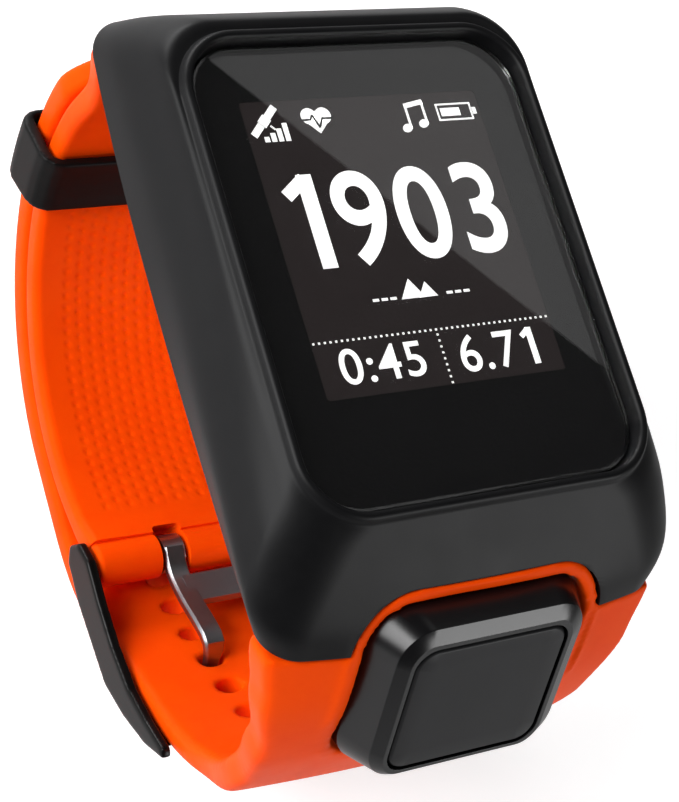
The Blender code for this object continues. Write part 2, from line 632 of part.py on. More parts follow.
def rim_front(x, up):
    """Front of the rim: flush with the case above its foot, just proud of the strap below."""
    if up > ARCH_FOOT:
        return front_slope(x, up)
    levels = ((-9.6 * MM, -4.1 * MM), (-7.2 * MM, -2.95 * MM), (-1.3 * MM, -1.4 * MM),
              (ARCH_FOOT, -1.3 * MM))
    return blend(levels, up) + front_slope(x, ARCH_FOOT) - front_slope(0.0, ARCH_FOOT)


def make_strap_lower():
    """The 6 o'clock half: rim around the button, holes, and the tail under the keeper."""
    path = lower_path()
    travelled = lengths_along(path)
    total = travelled[-1]
    half_widths = ((0.0, 18.0 * MM), (9.0 * MM, 16.8 * MM), (20.0 * MM, 14.6 * MM),
                   (33.0 * MM, STRAP_HALF_WIDTH), (total - 9.0 * MM, STRAP_HALF_WIDTH),
                   (total, 7.0 * MM))
    thicknesses = ((0.0, 3.5 * MM), (12.0 * MM, 3.3 * MM), (24.0 * MM, 2.9 * MM),
                   (34.0 * MM, 2.4 * MM), (48.0 * MM, 2.4 * MM), (60.0 * MM, LOWER_THICKNESS),
                   (total - 10.0 * MM, LOWER_THICKNESS), (total, 1.9 * MM))
    crowns = ((0.0, 2.1 * MM), (14.0 * MM, 1.0 * MM), (28.0 * MM, 0.2 * MM), (46.0 * MM, 0.0))
    strap_band = band(path, lambda s: blend(half_widths, s), lambda s: blend(thicknesses, s),
                      lambda s: blend(crowns, s))
    strap = finish_object("strap_lower", strap_band, ORANGE)

    outline = rounded_outline(ARCH_HALF_WIDTH - GAP, -9.6 * MM, ARCH_TOP - GAP,
                              ARCH_RADIUS - GAP, 8, 6)
    rim = loft([[on_button(x, up, -5.4 * MM) for x, up in outline],
                [on_button(x, up, rim_front(x, up)) for x, up in outline]])
    boolean(strap, cutter("button_rim", rim), 'UNION')
    window = button_slab(BLOCK_HALF_WIDTH + GAP, BLOCK_BOTTOM - GAP, BLOCK_TOP + GAP, 4.1 * MM,
                         -14.0 * MM, 6.0 * MM, 8)
    boolean(strap, cutter("button_window", window))

    holes = bmesh.new()
    first = 38.0 * MM
    for number in range(HOLE_COUNT):
        point, outward = point_at(path, travelled, first + number * HOLE_PITCH)
        axis = Vector((0.0, outward.x, outward.y))
        along = Vector((1.0, 0.0, 0.0)).cross(axis)
        for side in (-1, 1):
            rings = []
            for depth in (-5.0 * MM, 2.0 * MM):
                centre = Vector((side * PRONG_X, point.x, point.y)) + axis * depth
                rings.append([centre + Vector((1.3 * MM * cos(a), 0.0, 0.0))
                              + along * (0.95 * MM * sin(a))
                              for a in (2.0 * pi * step / 14 for step in range(14))])
            merge(holes, loft(rings))
    boolean(strap, cutter("strap_holes", holes))


# ---------------------------------------------------------------- buckle and keeper

def make_spring_bar():
    bar = rod(KNUCKLE, (1, 0, 0), BAR_RADIUS, ARM_INNER + 0.4 * MM, 20, 0.2 * MM)
    finish_object("spring_bar", bar, STEEL)


def make_buckle_frame():
    """Two side arms joined outside the strap by a flat bar; it swings about the spring bar."""
    outer = [(-9.0, -49.9), (-13.2, -50.0), (-17.3, -49.4), (-21.3, -48.8), (-24.8, -46.6),
             (-28.1, -43.6), (-30.2, -40.6)]
    inner = [(-29.4, -40.1), (-26.4, -42.1), (-23.0, -43.9), (-18.6, -45.0), (-14.2, -45.4),
             (-10.4, -45.4), (-8.3, -46.5), (-7.8, -48.5)]
    outline = [(y * MM, z * MM) for y, z in outer + inner]
    frame = finish_object("buckle_frame", side_prism(outline, -ARM_OUTER, ARM_OUTER), GUNMETAL,
                          KNUCKLE, empty("buckle_axis", KNUCKLE, WATCH))
    inside = [(-4.0, -56.0), (-20.4, -56.0), (-20.4, -48.7), (-23.2, -46.65), (-29.8, -41.65),
              (-36.0, -36.0), (-30.0, -30.0), (-4.0, -40.0)]
    room = side_prism([(y * MM, z * MM) for y, z in inside], -ARM_INNER, ARM_INNER)
    boolean(frame, cutter("strap_room", room))
    bore = rod(KNUCKLE, (1, 0, 0), BAR_HOLE_RADIUS, ARM_INNER + 0.5 * MM, 20)
    boolean(frame, cutter("buckle_bore", bore))


def prong_path():
    """Side line of a prong: over the spring bar, along the strap and down into its hole."""
    return [(-10.1 * MM, -46.35 * MM), (-12.6 * MM, -46.7 * MM), (-15.6 * MM, -45.6 * MM),
            (-18.6 * MM, -43.9 * MM), (-20.4 * MM, -43.3 * MM), (-21.5 * MM, -44.5 * MM),
            (-22.0 * MM, -45.3 * MM)]


def make_buckle_tongue():
    """Two prongs joined by a crossbar, hinged on the spring bar, on the wrist side."""
    holder = empty("tongue_axis", KNUCKLE, WATCH)
    path = through(prong_path(), 1.0 * MM)
    prongs = {}
    for side in (-1, 1):
        rings = []
        for index, point in enumerate(path):
            outward = outward_at(path, index)
            half = blend(((0.7, 0.5 * PRONG_THICKNESS), (1.0, 0.4 * MM)), index / (len(path) - 1))
            wide = blend(((0.0, 0.5 * PRONG_WIDTH), (0.75, 0.5 * PRONG_WIDTH), (1.0, 0.7 * MM)),
                         index / (len(path) - 1))
            rings.append([(side * PRONG_X + x * wide, point.x + outward.x * t * half,
                           point.y + outward.y * t * half)
                          for x, t in ((-1, -0.5), (-0.8, -1), (0.8, -1), (1, -0.5), (1, 0.5),
                                       (0.8, 1), (-0.8, 1), (-1, 0.5))])
        prongs[side] = loft(rings)
    tongue = finish_object("buckle_tongue", prongs[-1], GUNMETAL, KNUCKLE, holder)
    boolean(tongue, cutter("right_prong", prongs[1], KNUCKLE, holder), 'UNION')
    bar = side_prism([(y * MM, z * MM) for y, z in ((-13.1, -46.0), (-15.9, -45.0),
                                                    (-16.3, -45.5), (-15.9, -46.0),
                                                    (-13.3, -47.0), (-12.9, -46.6))],
                     -PRONG_X, PRONG_X)
    boolean(tongue, cutter("crossbar", bar, KNUCKLE, holder), 'UNION')
    sleeves = bmesh.new()
    for side in (-1, 1):
        centre = KNUCKLE + Vector((side * PRONG_X, 0.0, 0.0))
        merge(sleeves, rod(centre, (1, 0, 0), 1.8 * MM, 0.5 * PRONG_WIDTH, 20))
    boolean(tongue, cutter("sleeves", sleeves, KNUCKLE, holder), 'UNION')
    bore = rod(KNUCKLE, (1, 0, 0), BAR_HOLE_RADIUS, 9.0 * MM, 20)
    boolean(tongue, cutter("tongue_bore", bore, KNUCKLE, holder))


def make_keeper():
    """A loop that slides around both strap halves about the centre of the wrist loop."""
    low = UPPER_RADIUS - KEEPER_CLEARANCE
    high = LOWER_RADIUS + KEEPER_CLEARANCE
    clear = STRAP_HALF_WIDTH + KEEPER_CLEARANCE
    inner = rounded_outline(clear, low, high, 0.8 * MM, 3)
    outer = rounded_outline(clear + 1.2 * MM, low - KEEPER_WALL, high + 0.7 * MM, 2.0 * MM, 3)
    half_angle = 0.5 * KEEPER_LENGTH / LOWER_RADIUS

    def turn(radius, part):
        """Angle at a place along the loop; its upper end is shorter on the outer side."""
        shorter = 0.24 * max(part, 0.0) * max(radius - low, 0.0) / (high - low)
        return KEEPER_ANGLE + half_angle * (part - shorter)

    rows = []
    for part in (-1.0, -0.5, 0.0, 0.5, 1.0):
        rows.append([[(x, *loop_point(radius, turn(radius, part))) for x, radius in outline]
                     for outline in (outer, inner)])
    rings = [row[0] for row in rows] + [row[1] for row in reversed(rows)]
    centre = Vector((0.0, LOOP_Y, LOOP_Z))
    finish_object("keeper_loop", loft(rings, closed=True), BLACK_GLOSS, centre,
                  empty("keeper_axis", centre, WATCH))


make_case_frame()
make_front()
make_housing()
make_rear_cover()
make_inner_parts()
make_button_frame()
make_button_parts()
make_strap_upper()
make_strap_lower()
make_spring_bar()
make_buckle_frame()
make_buckle_tongue()
make_keeper()
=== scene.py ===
# %% [markdown]
# # A running watch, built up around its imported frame
# The frame holds the real solids of the watch. This lesson gives each of them its looks: smooth
# mouldings, satin silicone, a lit display under glass, coated metal, and plain studio light.

# %% Load the frame and name what the lesson works with
from math import cos, pi, radians, sin
import json
import bmesh
import bpy
from mathutils import Matrix, Vector

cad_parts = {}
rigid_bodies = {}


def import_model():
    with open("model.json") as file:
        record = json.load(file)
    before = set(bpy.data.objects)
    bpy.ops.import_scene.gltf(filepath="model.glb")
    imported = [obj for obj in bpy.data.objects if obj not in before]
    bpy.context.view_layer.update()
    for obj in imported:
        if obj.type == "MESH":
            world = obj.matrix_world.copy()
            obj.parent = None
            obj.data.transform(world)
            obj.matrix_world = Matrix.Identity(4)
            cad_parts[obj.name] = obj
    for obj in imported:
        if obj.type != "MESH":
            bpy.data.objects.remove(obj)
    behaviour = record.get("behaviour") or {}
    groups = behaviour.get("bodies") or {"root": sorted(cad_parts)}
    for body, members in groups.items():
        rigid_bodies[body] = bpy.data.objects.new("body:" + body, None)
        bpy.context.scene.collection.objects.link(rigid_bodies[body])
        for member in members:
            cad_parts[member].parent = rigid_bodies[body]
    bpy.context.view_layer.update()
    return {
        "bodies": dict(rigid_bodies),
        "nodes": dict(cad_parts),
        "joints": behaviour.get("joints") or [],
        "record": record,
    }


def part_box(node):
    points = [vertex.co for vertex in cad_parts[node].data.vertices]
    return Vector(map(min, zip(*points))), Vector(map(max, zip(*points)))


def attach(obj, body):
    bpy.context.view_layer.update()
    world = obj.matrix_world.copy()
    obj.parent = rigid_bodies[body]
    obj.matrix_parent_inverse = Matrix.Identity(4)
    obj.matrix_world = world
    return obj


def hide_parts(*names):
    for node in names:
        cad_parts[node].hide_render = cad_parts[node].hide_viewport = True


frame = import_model()
nodes = frame["nodes"]
MM = 0.001

# %% [markdown]
# ## One origin for the drawing
# The watch is drawn about the centre of its display: X to 3 o'clock, Y to 12 o'clock and Z out of
# the glass, in millimetres. The cover glass tells where that centre is in the frame.

# %% The display's centre, and a helper that turns millimetres into places
glass_low, glass_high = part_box("front_glass")
GLASS_BOTTOM, GLASS_TOP, GLASS_SURFACE, GLASS_HALF_WIDTH = -21.4, 16.95, 0.3, 15.0
DISPLAY = Vector((0.5 * (glass_low.x + glass_high.x), glass_low.y - GLASS_BOTTOM * MM,
                  glass_high.z - GLASS_SURFACE * MM))


def at(x, y, z):
    """A place given in millimetres from the centre of the display."""
    return DISPLAY + Vector((x, y, z)) * MM


print("display centre:", [round(value, 5) for value in DISPLAY])

# %% [markdown]
# ## Camera, floor and light
# The view looks down on the watch from its lower left, with a long lens from close by. The watch
# stands on a pale floor. Four softboxes light it: from the left, the front, the back, and a small
# one for the button's corner. A card hangs where the glass mirrors it, so that its edge crosses
# the glass as a slanting line, and the rest stays dim.

# %% The camera
camera = bpy.data.objects.new("camera", bpy.data.cameras.new("camera"))
bpy.context.collection.objects.link(camera)
CAMERA_PLACE = Vector((-0.088613, -0.04888, 0.18351))
CAMERA_RIGHT = Vector((0.85622, -0.27940, 0.43454))
CAMERA_UP = Vector((0.11814, 0.92474, 0.36180))
CAMERA_BACK = CAMERA_RIGHT.cross(CAMERA_UP)
turned = Matrix((CAMERA_RIGHT, CAMERA_UP, CAMERA_BACK)).transposed().to_4x4()
camera.matrix_world = Matrix.Translation(CAMERA_PLACE) @ turned
camera.data.lens = 94.465
camera.data.sensor_width = 36.0
camera.data.clip_start = 0.01
bpy.context.scene.camera = camera

# %% The floor and the lights


def softbox(name, place, target, width, height, radiance, turn=0.0):
    """A rectangular area light of an even brightness, facing a target."""
    data = bpy.data.lights.new(name, 'AREA')
    data.shape = 'RECTANGLE'
    data.size, data.size_y = width, height
    data.energy = radiance * pi * width * height
    light = bpy.data.objects.new(name, data)
    bpy.context.collection.objects.link(light)
    facing = (Vector(target) - Vector(place)).to_track_quat('-Z', 'Y').to_matrix().to_4x4()
    light.matrix_world = (Matrix.Translation(Vector(place)) @ facing
                          @ Matrix.Rotation(turn, 4, 'Z'))
    return light


MIDDLE = Vector((0.0, 0.0, 0.03))
softbox("left_softbox", (-0.42, 0.10, 0.24), MIDDLE, 0.30, 0.30, 9.0)
softbox("front_softbox", (0.275, -0.405, 0.21), MIDDLE, 0.26, 0.22, 6.5)
softbox("corner_softbox", (-0.30, 0.015, 0.34), MIDDLE, 0.12, 0.12, 9.0)
softbox("back_softbox", (-0.08, 0.50, 0.16), MIDDLE, 0.40, 0.16, 9.0)
card_start, card_end = Vector((0.1903, 0.2066, 0.40)), Vector((0.2968, 0.0921, 0.40))
CARD_DEPTH = 0.22
card_edge = (card_end - card_start).normalized()
card_side = Vector((-card_edge.y, card_edge.x, 0.0))
card_middle = 0.5 * (card_start + card_end) + card_side * (0.5 * CARD_DEPTH)
data = bpy.data.lights.new("glass_card", 'AREA')
data.shape = 'RECTANGLE'
data.size, data.size_y = 0.50, CARD_DEPTH
data.energy = 0.55 * pi * data.size * data.size_y
card = bpy.data.objects.new("glass_card", data)
bpy.context.collection.objects.link(card)
card.matrix_world = (Matrix.Translation(card_middle)
                     @ Matrix((card_edge, card_side, card_edge.cross(card_side))).transposed().to_4x4())

world = bpy.data.worlds.new("studio")
bpy.context.scene.world = world
world.use_nodes = True
world.node_tree.nodes["Background"].inputs["Color"].default_value = (1.0, 1.0, 1.0, 1.0)
world.node_tree.nodes["Background"].inputs["Strength"].default_value = 0.05
bpy.context.scene.view_settings.view_transform = 'Standard'

bpy.ops.object.select_all(action='DESELECT')
bpy.ops.mesh.primitive_plane_add(size=4.0, location=(0.0, 0.0, -0.0002))
floor = bpy.context.object
floor.name = "floor"

# %% [markdown]
# ## Finishes
# Nothing on a watch is one flat colour. Every moulding has a fine grain, a little unevenness in its
# gloss and faint handling marks. One node group makes these from noise in object space, so that
# each material can ask for its own amount of them.

# %% The shared surface group: colour, roughness and height that change over the surface


def surface_group():
    """Inputs: Colour, Tint, Roughness, Spread, Grain Size. Outputs: Colour, Roughness, Height."""
    group = bpy.data.node_groups.new("moulded_surface", 'ShaderNodeTree')
    sockets = group.interface
    for socket_name, kind, value in (("Colour", 'NodeSocketColor', (0.5, 0.5, 0.5, 1.0)),
                                     ("Tint", 'NodeSocketColor', (0.4, 0.4, 0.4, 1.0)),
                                     ("Roughness", 'NodeSocketFloat', 0.5),
                                     ("Spread", 'NodeSocketFloat', 0.1),
                                     ("Grain Size", 'NodeSocketFloat', 3000.0)):
        socket = sockets.new_socket(name=socket_name, in_out='INPUT', socket_type=kind)
        socket.default_value = value
    sockets.new_socket(name="Colour", in_out='OUTPUT', socket_type='NodeSocketColor')
    sockets.new_socket(name="Roughness", in_out='OUTPUT', socket_type='NodeSocketFloat')
    sockets.new_socket(name="Height", in_out='OUTPUT', socket_type='NodeSocketFloat')
    new, link = group.nodes.new, group.links.new
    inside, outside = new('NodeGroupInput'), new('NodeGroupOutput')
    place = new('ShaderNodeTexCoord')
    grain = new('ShaderNodeTexNoise')
    grain.inputs["Detail"].default_value = 3.0
    marks = new('ShaderNodeTexNoise')
    marks.inputs["Scale"].default_value = 240.0
    marks.inputs["Detail"].default_value = 6.0
    marks.inputs["Roughness"].default_value = 0.65
    link(place.outputs["Object"], grain.inputs["Vector"])
    link(place.outputs["Object"], marks.inputs["Vector"])
    link(inside.outputs["Grain Size"], grain.inputs["Scale"])
    tint = new('ShaderNodeMix')
    tint.data_type = 'RGBA'
    patches = new('ShaderNodeMapRange')
    patches.inputs["From Min"].default_value = 0.42
    patches.inputs["From Max"].default_value = 0.68
    link(marks.outputs["Fac"], patches.inputs["Value"])
    link(patches.outputs["Result"], tint.inputs["Factor"])
    link(inside.outputs["Colour"], tint.inputs["A"])
    link(inside.outputs["Tint"], tint.inputs["B"])
    link(tint.outputs["Result"], outside.inputs["Colour"])
    uneven = new('ShaderNodeMath')
    uneven.operation = 'SUBTRACT'
    uneven.inputs[1].default_value = 0.5
    link(marks.outputs["Fac"], uneven.inputs[0])
    rough = new('ShaderNodeMath')
    rough.operation = 'MULTIPLY_ADD'
    rough.use_clamp = True
    link(uneven.outputs["Value"], rough.inputs[0])
    link(inside.outputs["Spread"], rough.inputs[1])
    link(inside.outputs["Roughness"], rough.inputs[2])
    link(rough.outputs["Value"], outside.inputs["Roughness"])
    link(grain.outputs["Fac"], outside.inputs["Height"])
    return group


SURFACE = surface_group()
print("surface group:", len(SURFACE.nodes), "nodes")

# %% A finish: the group feeding a Principled shader


def finish(name, colour, tint, roughness, spread=0.12, grain=3000.0, bump=0.02, **constants):
    """A material with the surface group's variation; constants are set on the shader itself."""
    made = bpy.data.materials.new(name)
    made.use_nodes = True
    tree = made.node_tree
    shader = tree.nodes["Principled BSDF"]
    surface = tree.nodes.new('ShaderNodeGroup')
    surface.node_tree = SURFACE
    surface.inputs["Colour"].default_value = (*colour, 1.0)
    surface.inputs["Tint"].default_value = (*tint, 1.0)
    surface.inputs["Roughness"].default_value = roughness
    surface.inputs["Spread"].default_value = spread
    surface.inputs["Grain Size"].default_value = grain
    bumps = tree.nodes.new('ShaderNodeBump')
    bumps.inputs["Strength"].default_value = 1.0
    bumps.inputs["Distance"].default_value = bump * MM
    tree.links.new(surface.outputs["Colour"], shader.inputs["Base Color"])
    tree.links.new(surface.outputs["Roughness"], shader.inputs["Roughness"])
    tree.links.new(surface.outputs["Height"], bumps.inputs["Height"])
    tree.links.new(bumps.outputs["Normal"], shader.inputs["Normal"])
    for socket, value in constants.items():
        shader.inputs[socket.replace("_", " ")].default_value = value
    return made


# %% [markdown]
# ## The finishes of this watch
# The case is soft-touch black with a very fine texture. The button block and keeper are glossier.
# The strap is silicone: a strong orange, satin, with a little light passing under its skin. The
# buckle is coated steel, and the pieces inside have the colours that such parts have.

# %% Every finish by its slot in the record
FINISHES = {
    "black_frame": finish("soft_touch_black", (0.0045, 0.0045, 0.005), (0.006, 0.006, 0.0065),
                          0.42, 0.10, 9000.0, 0.005, Specular_IOR_Level=0.14),
    "black_gloss": finish("glossy_black", (0.004, 0.004, 0.0045), (0.005, 0.005, 0.0055), 0.25,
                          0.08, 6000.0, 0.001, Specular_IOR_Level=0.40),
    "black_rubber": finish("seal_rubber", (0.018, 0.018, 0.018), (0.028, 0.028, 0.027), 0.75),
    "orange_silicone": finish("orange_silicone", (1.0, 0.075, 0.001), (0.97, 0.066, 0.001), 0.46,
                              0.16, 5000.0, 0.005, Subsurface_Weight=0.10,
                              Subsurface_Radius=(1.0, 0.2, 0.05), Subsurface_Scale=0.0008,
                              Specular_IOR_Level=0.08, Specular_Tint=(1.0, 0.35, 0.1, 1.0)),
    "pad_grey": finish("button_grey", (0.010, 0.010, 0.011), (0.013, 0.013, 0.014), 0.40,
                       0.08, 9000.0, 0.004, Specular_IOR_Level=0.2),
    "circuit_board": finish("solder_mask", (0.010, 0.085, 0.035), (0.02, 0.14, 0.06), 0.35),
    "silver_foil": finish("battery_foil", (0.62, 0.62, 0.64), (0.5, 0.5, 0.52), 0.38, 0.2,
                          1200.0, 0.03, Metallic=1.0),
    "ceramic": finish("fired_ceramic", (0.72, 0.66, 0.54), (0.62, 0.56, 0.46), 0.55),
    "steel": finish("brushed_steel", (0.58, 0.58, 0.60), (0.48, 0.48, 0.50), 0.26, 0.2,
                    5000.0, 0.004, Metallic=1.0),
    "gunmetal": finish("coated_steel", (0.30, 0.30, 0.315), (0.35, 0.352, 0.365), 0.33, 0.15,
                       7000.0, 0.002, Metallic=1.0),
    "gold_contact": finish("gold_plate", (0.86, 0.60, 0.22), (0.78, 0.52, 0.18), 0.24, 0.15,
                           4000.0, 0.003, Metallic=1.0),
    "white_plastic": finish("white_plastic", (0.78, 0.78, 0.77), (0.7, 0.7, 0.68), 0.5),
    "led_green": finish("clear_green_led", (0.08, 0.62, 0.16), (0.12, 0.75, 0.22), 0.15),
}
print("finishes:", len(FINISHES))

# %% The floor's finish: it glows for the camera only, so that black sides don't mirror the glow
floor.data.materials.append(finish("pale_floor", (0.90, 0.90, 0.905), (0.88, 0.88, 0.885), 0.7,
                                   0.1, 500.0, 0.0, Specular_IOR_Level=0.1,
                                   Emission_Color=(0.5, 0.5, 0.5, 1.0)))
floor_tree = floor.data.materials[0].node_tree
seen = floor_tree.nodes.new('ShaderNodeLightPath')
floor_tree.links.new(seen.outputs["Is Camera Ray"],
                     floor_tree.nodes["Principled BSDF"].inputs["Emission Strength"])

# %% [markdown]
# ## Cover glass
# The glass is clear; what makes it look black is the dark print under it and the display behind
# it. So it gets a true glass shader, with only a trace of unevenness in its polish.

# %% Glass
glass = bpy.data.materials.new("cover_glass")
glass.use_nodes = True
glass_shader = glass.node_tree.nodes["Principled BSDF"]
for socket, value in (("Transmission Weight", 1.0), ("IOR", 1.47), ("Roughness", 0.0)):
    glass_shader.inputs[socket].default_value = value
smears = glass.node_tree.nodes.new('ShaderNodeTexNoise')
smears.inputs["Scale"].default_value = 180.0
glass_place = glass.node_tree.nodes.new('ShaderNodeTexCoord')
clean = glass.node_tree.nodes.new('ShaderNodeMapRange')
clean.inputs["To Min"].default_value = 0.97
clean.inputs["To Max"].default_value = 1.0
tone = glass.node_tree.nodes.new('ShaderNodeCombineColor')
glass.node_tree.links.new(glass_place.outputs["Object"], smears.inputs["Vector"])
glass.node_tree.links.new(smears.outputs["Fac"], clean.inputs["Value"])
for channel in ("Red", "Green", "Blue"):
    glass.node_tree.links.new(clean.outputs["Result"], tone.inputs[channel])
glass.node_tree.links.new(tone.outputs["Color"], glass_shader.inputs["Base Color"])
FINISHES["cover_glass"] = glass
FINISHES["keeper_black"] = finish("keeper_black", (0.003, 0.003, 0.003), (0.004, 0.004, 0.004),
                                  0.45, 0.08, 6000.0, 0.002, Specular_IOR_Level=0.12)
FINISHES["dark_coating"] = finish("dark_coating", (0.003, 0.003, 0.003), (0.005, 0.005, 0.005),
                                  0.30, 0.08, 7000.0, 0.001, Specular_IOR_Level=0.16)

# %% [markdown]
# ## The CAD nodes get their finishes
# Each solid takes the finish that its record row names. Those whose shape is final keep their own
# mesh; the others are stood for by finer pieces, made below.

# %% Give every node its finish
slot_of = {row["node"]: row["material_slot"] for row in frame["record"]["subparts"]}
body_of = {node: body for body, held in frame["record"]["behaviour"]["bodies"].items()
           for node in held}
for node, solid in nodes.items():
    solid.data.materials.clear()
    solid.data.materials.append(FINISHES[slot_of[node]])

# %% [markdown]
# ## Working with operators
# Operators act on what is selected. These helpers leave exactly one piece selected, apply what was
# added to it, and hand the finished piece to its body with the finish of its slot, hiding the solids it
# stands for.

# %% Selection, applying and handing over


def only(piece):
    """Leaves object mode with this piece alone selected and active."""
    if bpy.context.object and bpy.context.object.mode != 'OBJECT':
        bpy.ops.object.mode_set(mode='OBJECT')
    bpy.ops.object.select_all(action='DESELECT')
    piece.select_set(True)
    bpy.context.view_layer.objects.active = piece


def modify(piece, kind, **settings):
    """Adds one modifier with its settings and applies it at once."""
    only(piece)
    step = piece.modifiers.new(kind.lower(), kind)
    for setting, value in settings.items():
        setattr(step, setting, value)
    bpy.ops.object.modifier_apply(modifier=step.name)


def edit(piece, *steps):
    """Runs operators, given as (operator, settings) pairs, on all of a piece in edit mode."""
    only(piece)
    bpy.ops.object.mode_set(mode='EDIT')
    bpy.ops.mesh.select_all(action='SELECT')
    for operator, settings in steps:
        operator(**settings)
    bpy.ops.object.mode_set(mode='OBJECT')


def choose(piece, test):
    """Selects the faces whose centre and normal pass a test, and goes to edit mode."""
    only(piece)
    bpy.ops.object.mode_set(mode='EDIT')
    bpy.ops.mesh.select_mode(type='FACE')
    bpy.ops.mesh.select_all(action='DESELECT')
    bpy.ops.object.mode_set(mode='OBJECT')
    for face in piece.data.polygons:
        face.select = bool(test(face.center, face.normal))
    bpy.ops.object.mode_set(mode='EDIT')


def hand_over(piece, name, body, slot, *stands_for, angle=32.0):
    """Names a piece, shades it, and gives it the finish of its slot and its body."""
    only(piece)
    bpy.ops.object.transform_apply(location=True, rotation=True, scale=True)
    bpy.ops.object.shade_smooth_by_angle(angle=radians(angle))
    modify(piece, 'WEIGHTED_NORMAL', keep_sharp=True)
    piece.name = name
    piece.data.materials.clear()
    piece.data.materials.append(FINISHES[slot])
    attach(piece, body)
    if stands_for:
        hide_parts(*stands_for)
    print(name, len(piece.data.polygons), "faces")
    return piece


# %% [markdown]
# ## Edges that catch the light
# A moulded or machined piece never has a knife edge. The simplest fine piece is therefore a copy
# of the solid: its loose triangles are merged, flat faces are joined again, and a narrow bevel
# runs along every edge. Where an edge is rounder than a bevel can make it, the copy is remeshed
# into small even faces instead, and relaxed.

# %% Rounded copies of solids whose shape is right


def rounded_copy(node, width, segments=2, limit=30.0, angle=32.0):
    """A copy of a CAD solid with merged faces and a bevel on its edges, in millimetres."""
    piece = bpy.data.objects.new(node + "_fine", nodes[node].data.copy())
    bpy.context.collection.objects.link(piece)
    edit(piece, (bpy.ops.mesh.remove_doubles, {"threshold": 0.000002}),
         (bpy.ops.mesh.dissolve_limited, {"angle_limit": radians(0.5)}))
    modify(piece, 'BEVEL', width=width * MM, segments=segments, limit_method='ANGLE',
           angle_limit=radians(limit), use_clamp_overlap=True)
    return hand_over(piece, node + "_fine", body_of[node], slot_of[node], node, angle=angle)


def softened_copy(node, voxel, rounds):
    """A copy of a CAD solid remeshed into small even faces and relaxed, so every edge rounds."""
    piece = bpy.data.objects.new(node + "_fine", nodes[node].data.copy())
    bpy.context.collection.objects.link(piece)
    edit(piece, (bpy.ops.mesh.remove_doubles, {"threshold": 0.000002}))
    modify(piece, 'REMESH', mode='VOXEL', voxel_size=voxel * MM)
    modify(piece, 'SMOOTH', factor=0.5, iterations=rounds)
    return hand_over(piece, node + "_fine", body_of[node], slot_of[node], node, angle=70.0)

# %% [markdown]
# ## The case: one moulded skin
# The case is a free form: its levels are rounded rectangles that bow down towards both ends and
# spread towards the lower one. No operator draws that, so each level is written as a closed line
# of points, and the lines are skinned. Between the shoulder and the back edge a smooth curve runs
# through the levels, so that the skirt has no facets.

# %% Lines, curves and skins


def rounded_outline(half_width, bottom, top, radius, corner_steps=6, side_steps=1):
    """A rounded rectangle, counter-clockwise, as (x, y) points in millimetres."""
    corners = ((half_width - radius, top - radius, 0.0),
               (radius - half_width, top - radius, 0.5 * pi),
               (radius - half_width, bottom + radius, pi),
               (half_width - radius, bottom + radius, 1.5 * pi))
    points = []
    for number, (x, y, start) in enumerate(corners):
        for step in range(corner_steps + 1):
            angle = start + 0.5 * pi * step / corner_steps
            points.append(Vector((x + radius * cos(angle), y + radius * sin(angle))))
        next_x, next_y, next_start = corners[(number + 1) % 4]
        end = Vector((next_x + radius * cos(next_start), next_y + radius * sin(next_start)))
        points += [points[-1].lerp(end, step / side_steps) for step in range(1, side_steps)]
    return points


def curve_between(before, start, end, after, part):
    """A point of the smooth curve from start to end, which heads for its neighbours."""
    return 0.5 * ((2.0 * start) + (end - before) * part
                  + (2.0 * before - 5.0 * start + 4.0 * end - after) * part ** 2
                  + (3.0 * start - before - 3.0 * end + after) * part ** 3)


def smooth_rows(rows, steps):
    """Rows of points with smooth rows added between them."""
    padded = [rows[0]] + rows + [rows[-1]]
    made = []
    for four in zip(padded, padded[1:], padded[2:], padded[3:]):
        for step in range(steps):
            made.append([curve_between(*points, step / steps) for points in zip(*four)])
    return made + [rows[-1]]


def skin(name, rows, closed=False):
    """A mesh object skinned over rows of points in millimetres; open skins get end caps."""
    builder = bmesh.new()
    lines = [[builder.verts.new(at(*point)) for point in row] for row in rows]
    pairs = list(zip(lines, lines[1:])) + ([(lines[-1], lines[0])] if closed else [])
    for low, high in pairs:
        for index in range(len(low)):
            after = (index + 1) % len(low)
            builder.faces.new((low[index], low[after], high[after], high[index]))
    if not closed:
        builder.faces.new(lines[0])
        builder.faces.new(lines[-1])
    mesh = bpy.data.meshes.new(name)
    builder.to_mesh(mesh)
    builder.free()
    piece = bpy.data.objects.new(name, mesh)
    bpy.context.collection.objects.link(piece)
    edit(piece, (bpy.ops.mesh.normals_make_consistent, {"inside": False}))
    return piece


# %% The levels of the case


def case_level(half_width, bottom, top, radius, height_top, height_side, height_bottom,
               bow=0.0, drop=0.0, flare=0.0):
    """One level: an outline whose height follows its place between the ends.

    bow and drop pull the lower corners up and back, and flare spreads the lower sides.
    """
    middle = 3.0
    level = []
    for x, y in rounded_outline(half_width, bottom, top, radius, 16, 20):
        if y > middle:
            part = (y - middle) / (top - middle)
            height = height_side + (height_top - height_side) * part * part
        else:
            part = (middle - y) / (middle - bottom)
            height = height_side + (height_bottom - height_side) * part * part
            side = (x / half_width) ** 2 * part ** 3
            x *= 1.0 + flare * min(part, 0.8)
            y += bow * side
            height -= drop * side
        level.append(Vector((x, y, height)))
    return level


def around_glass(spread, height, radius=None):
    """A level that follows the glass at a distance."""
    return case_level(GLASS_HALF_WIDTH + spread, GLASS_BOTTOM - spread, GLASS_TOP + spread,
                      (4.4 + spread) if radius is None else radius, height, height, height)


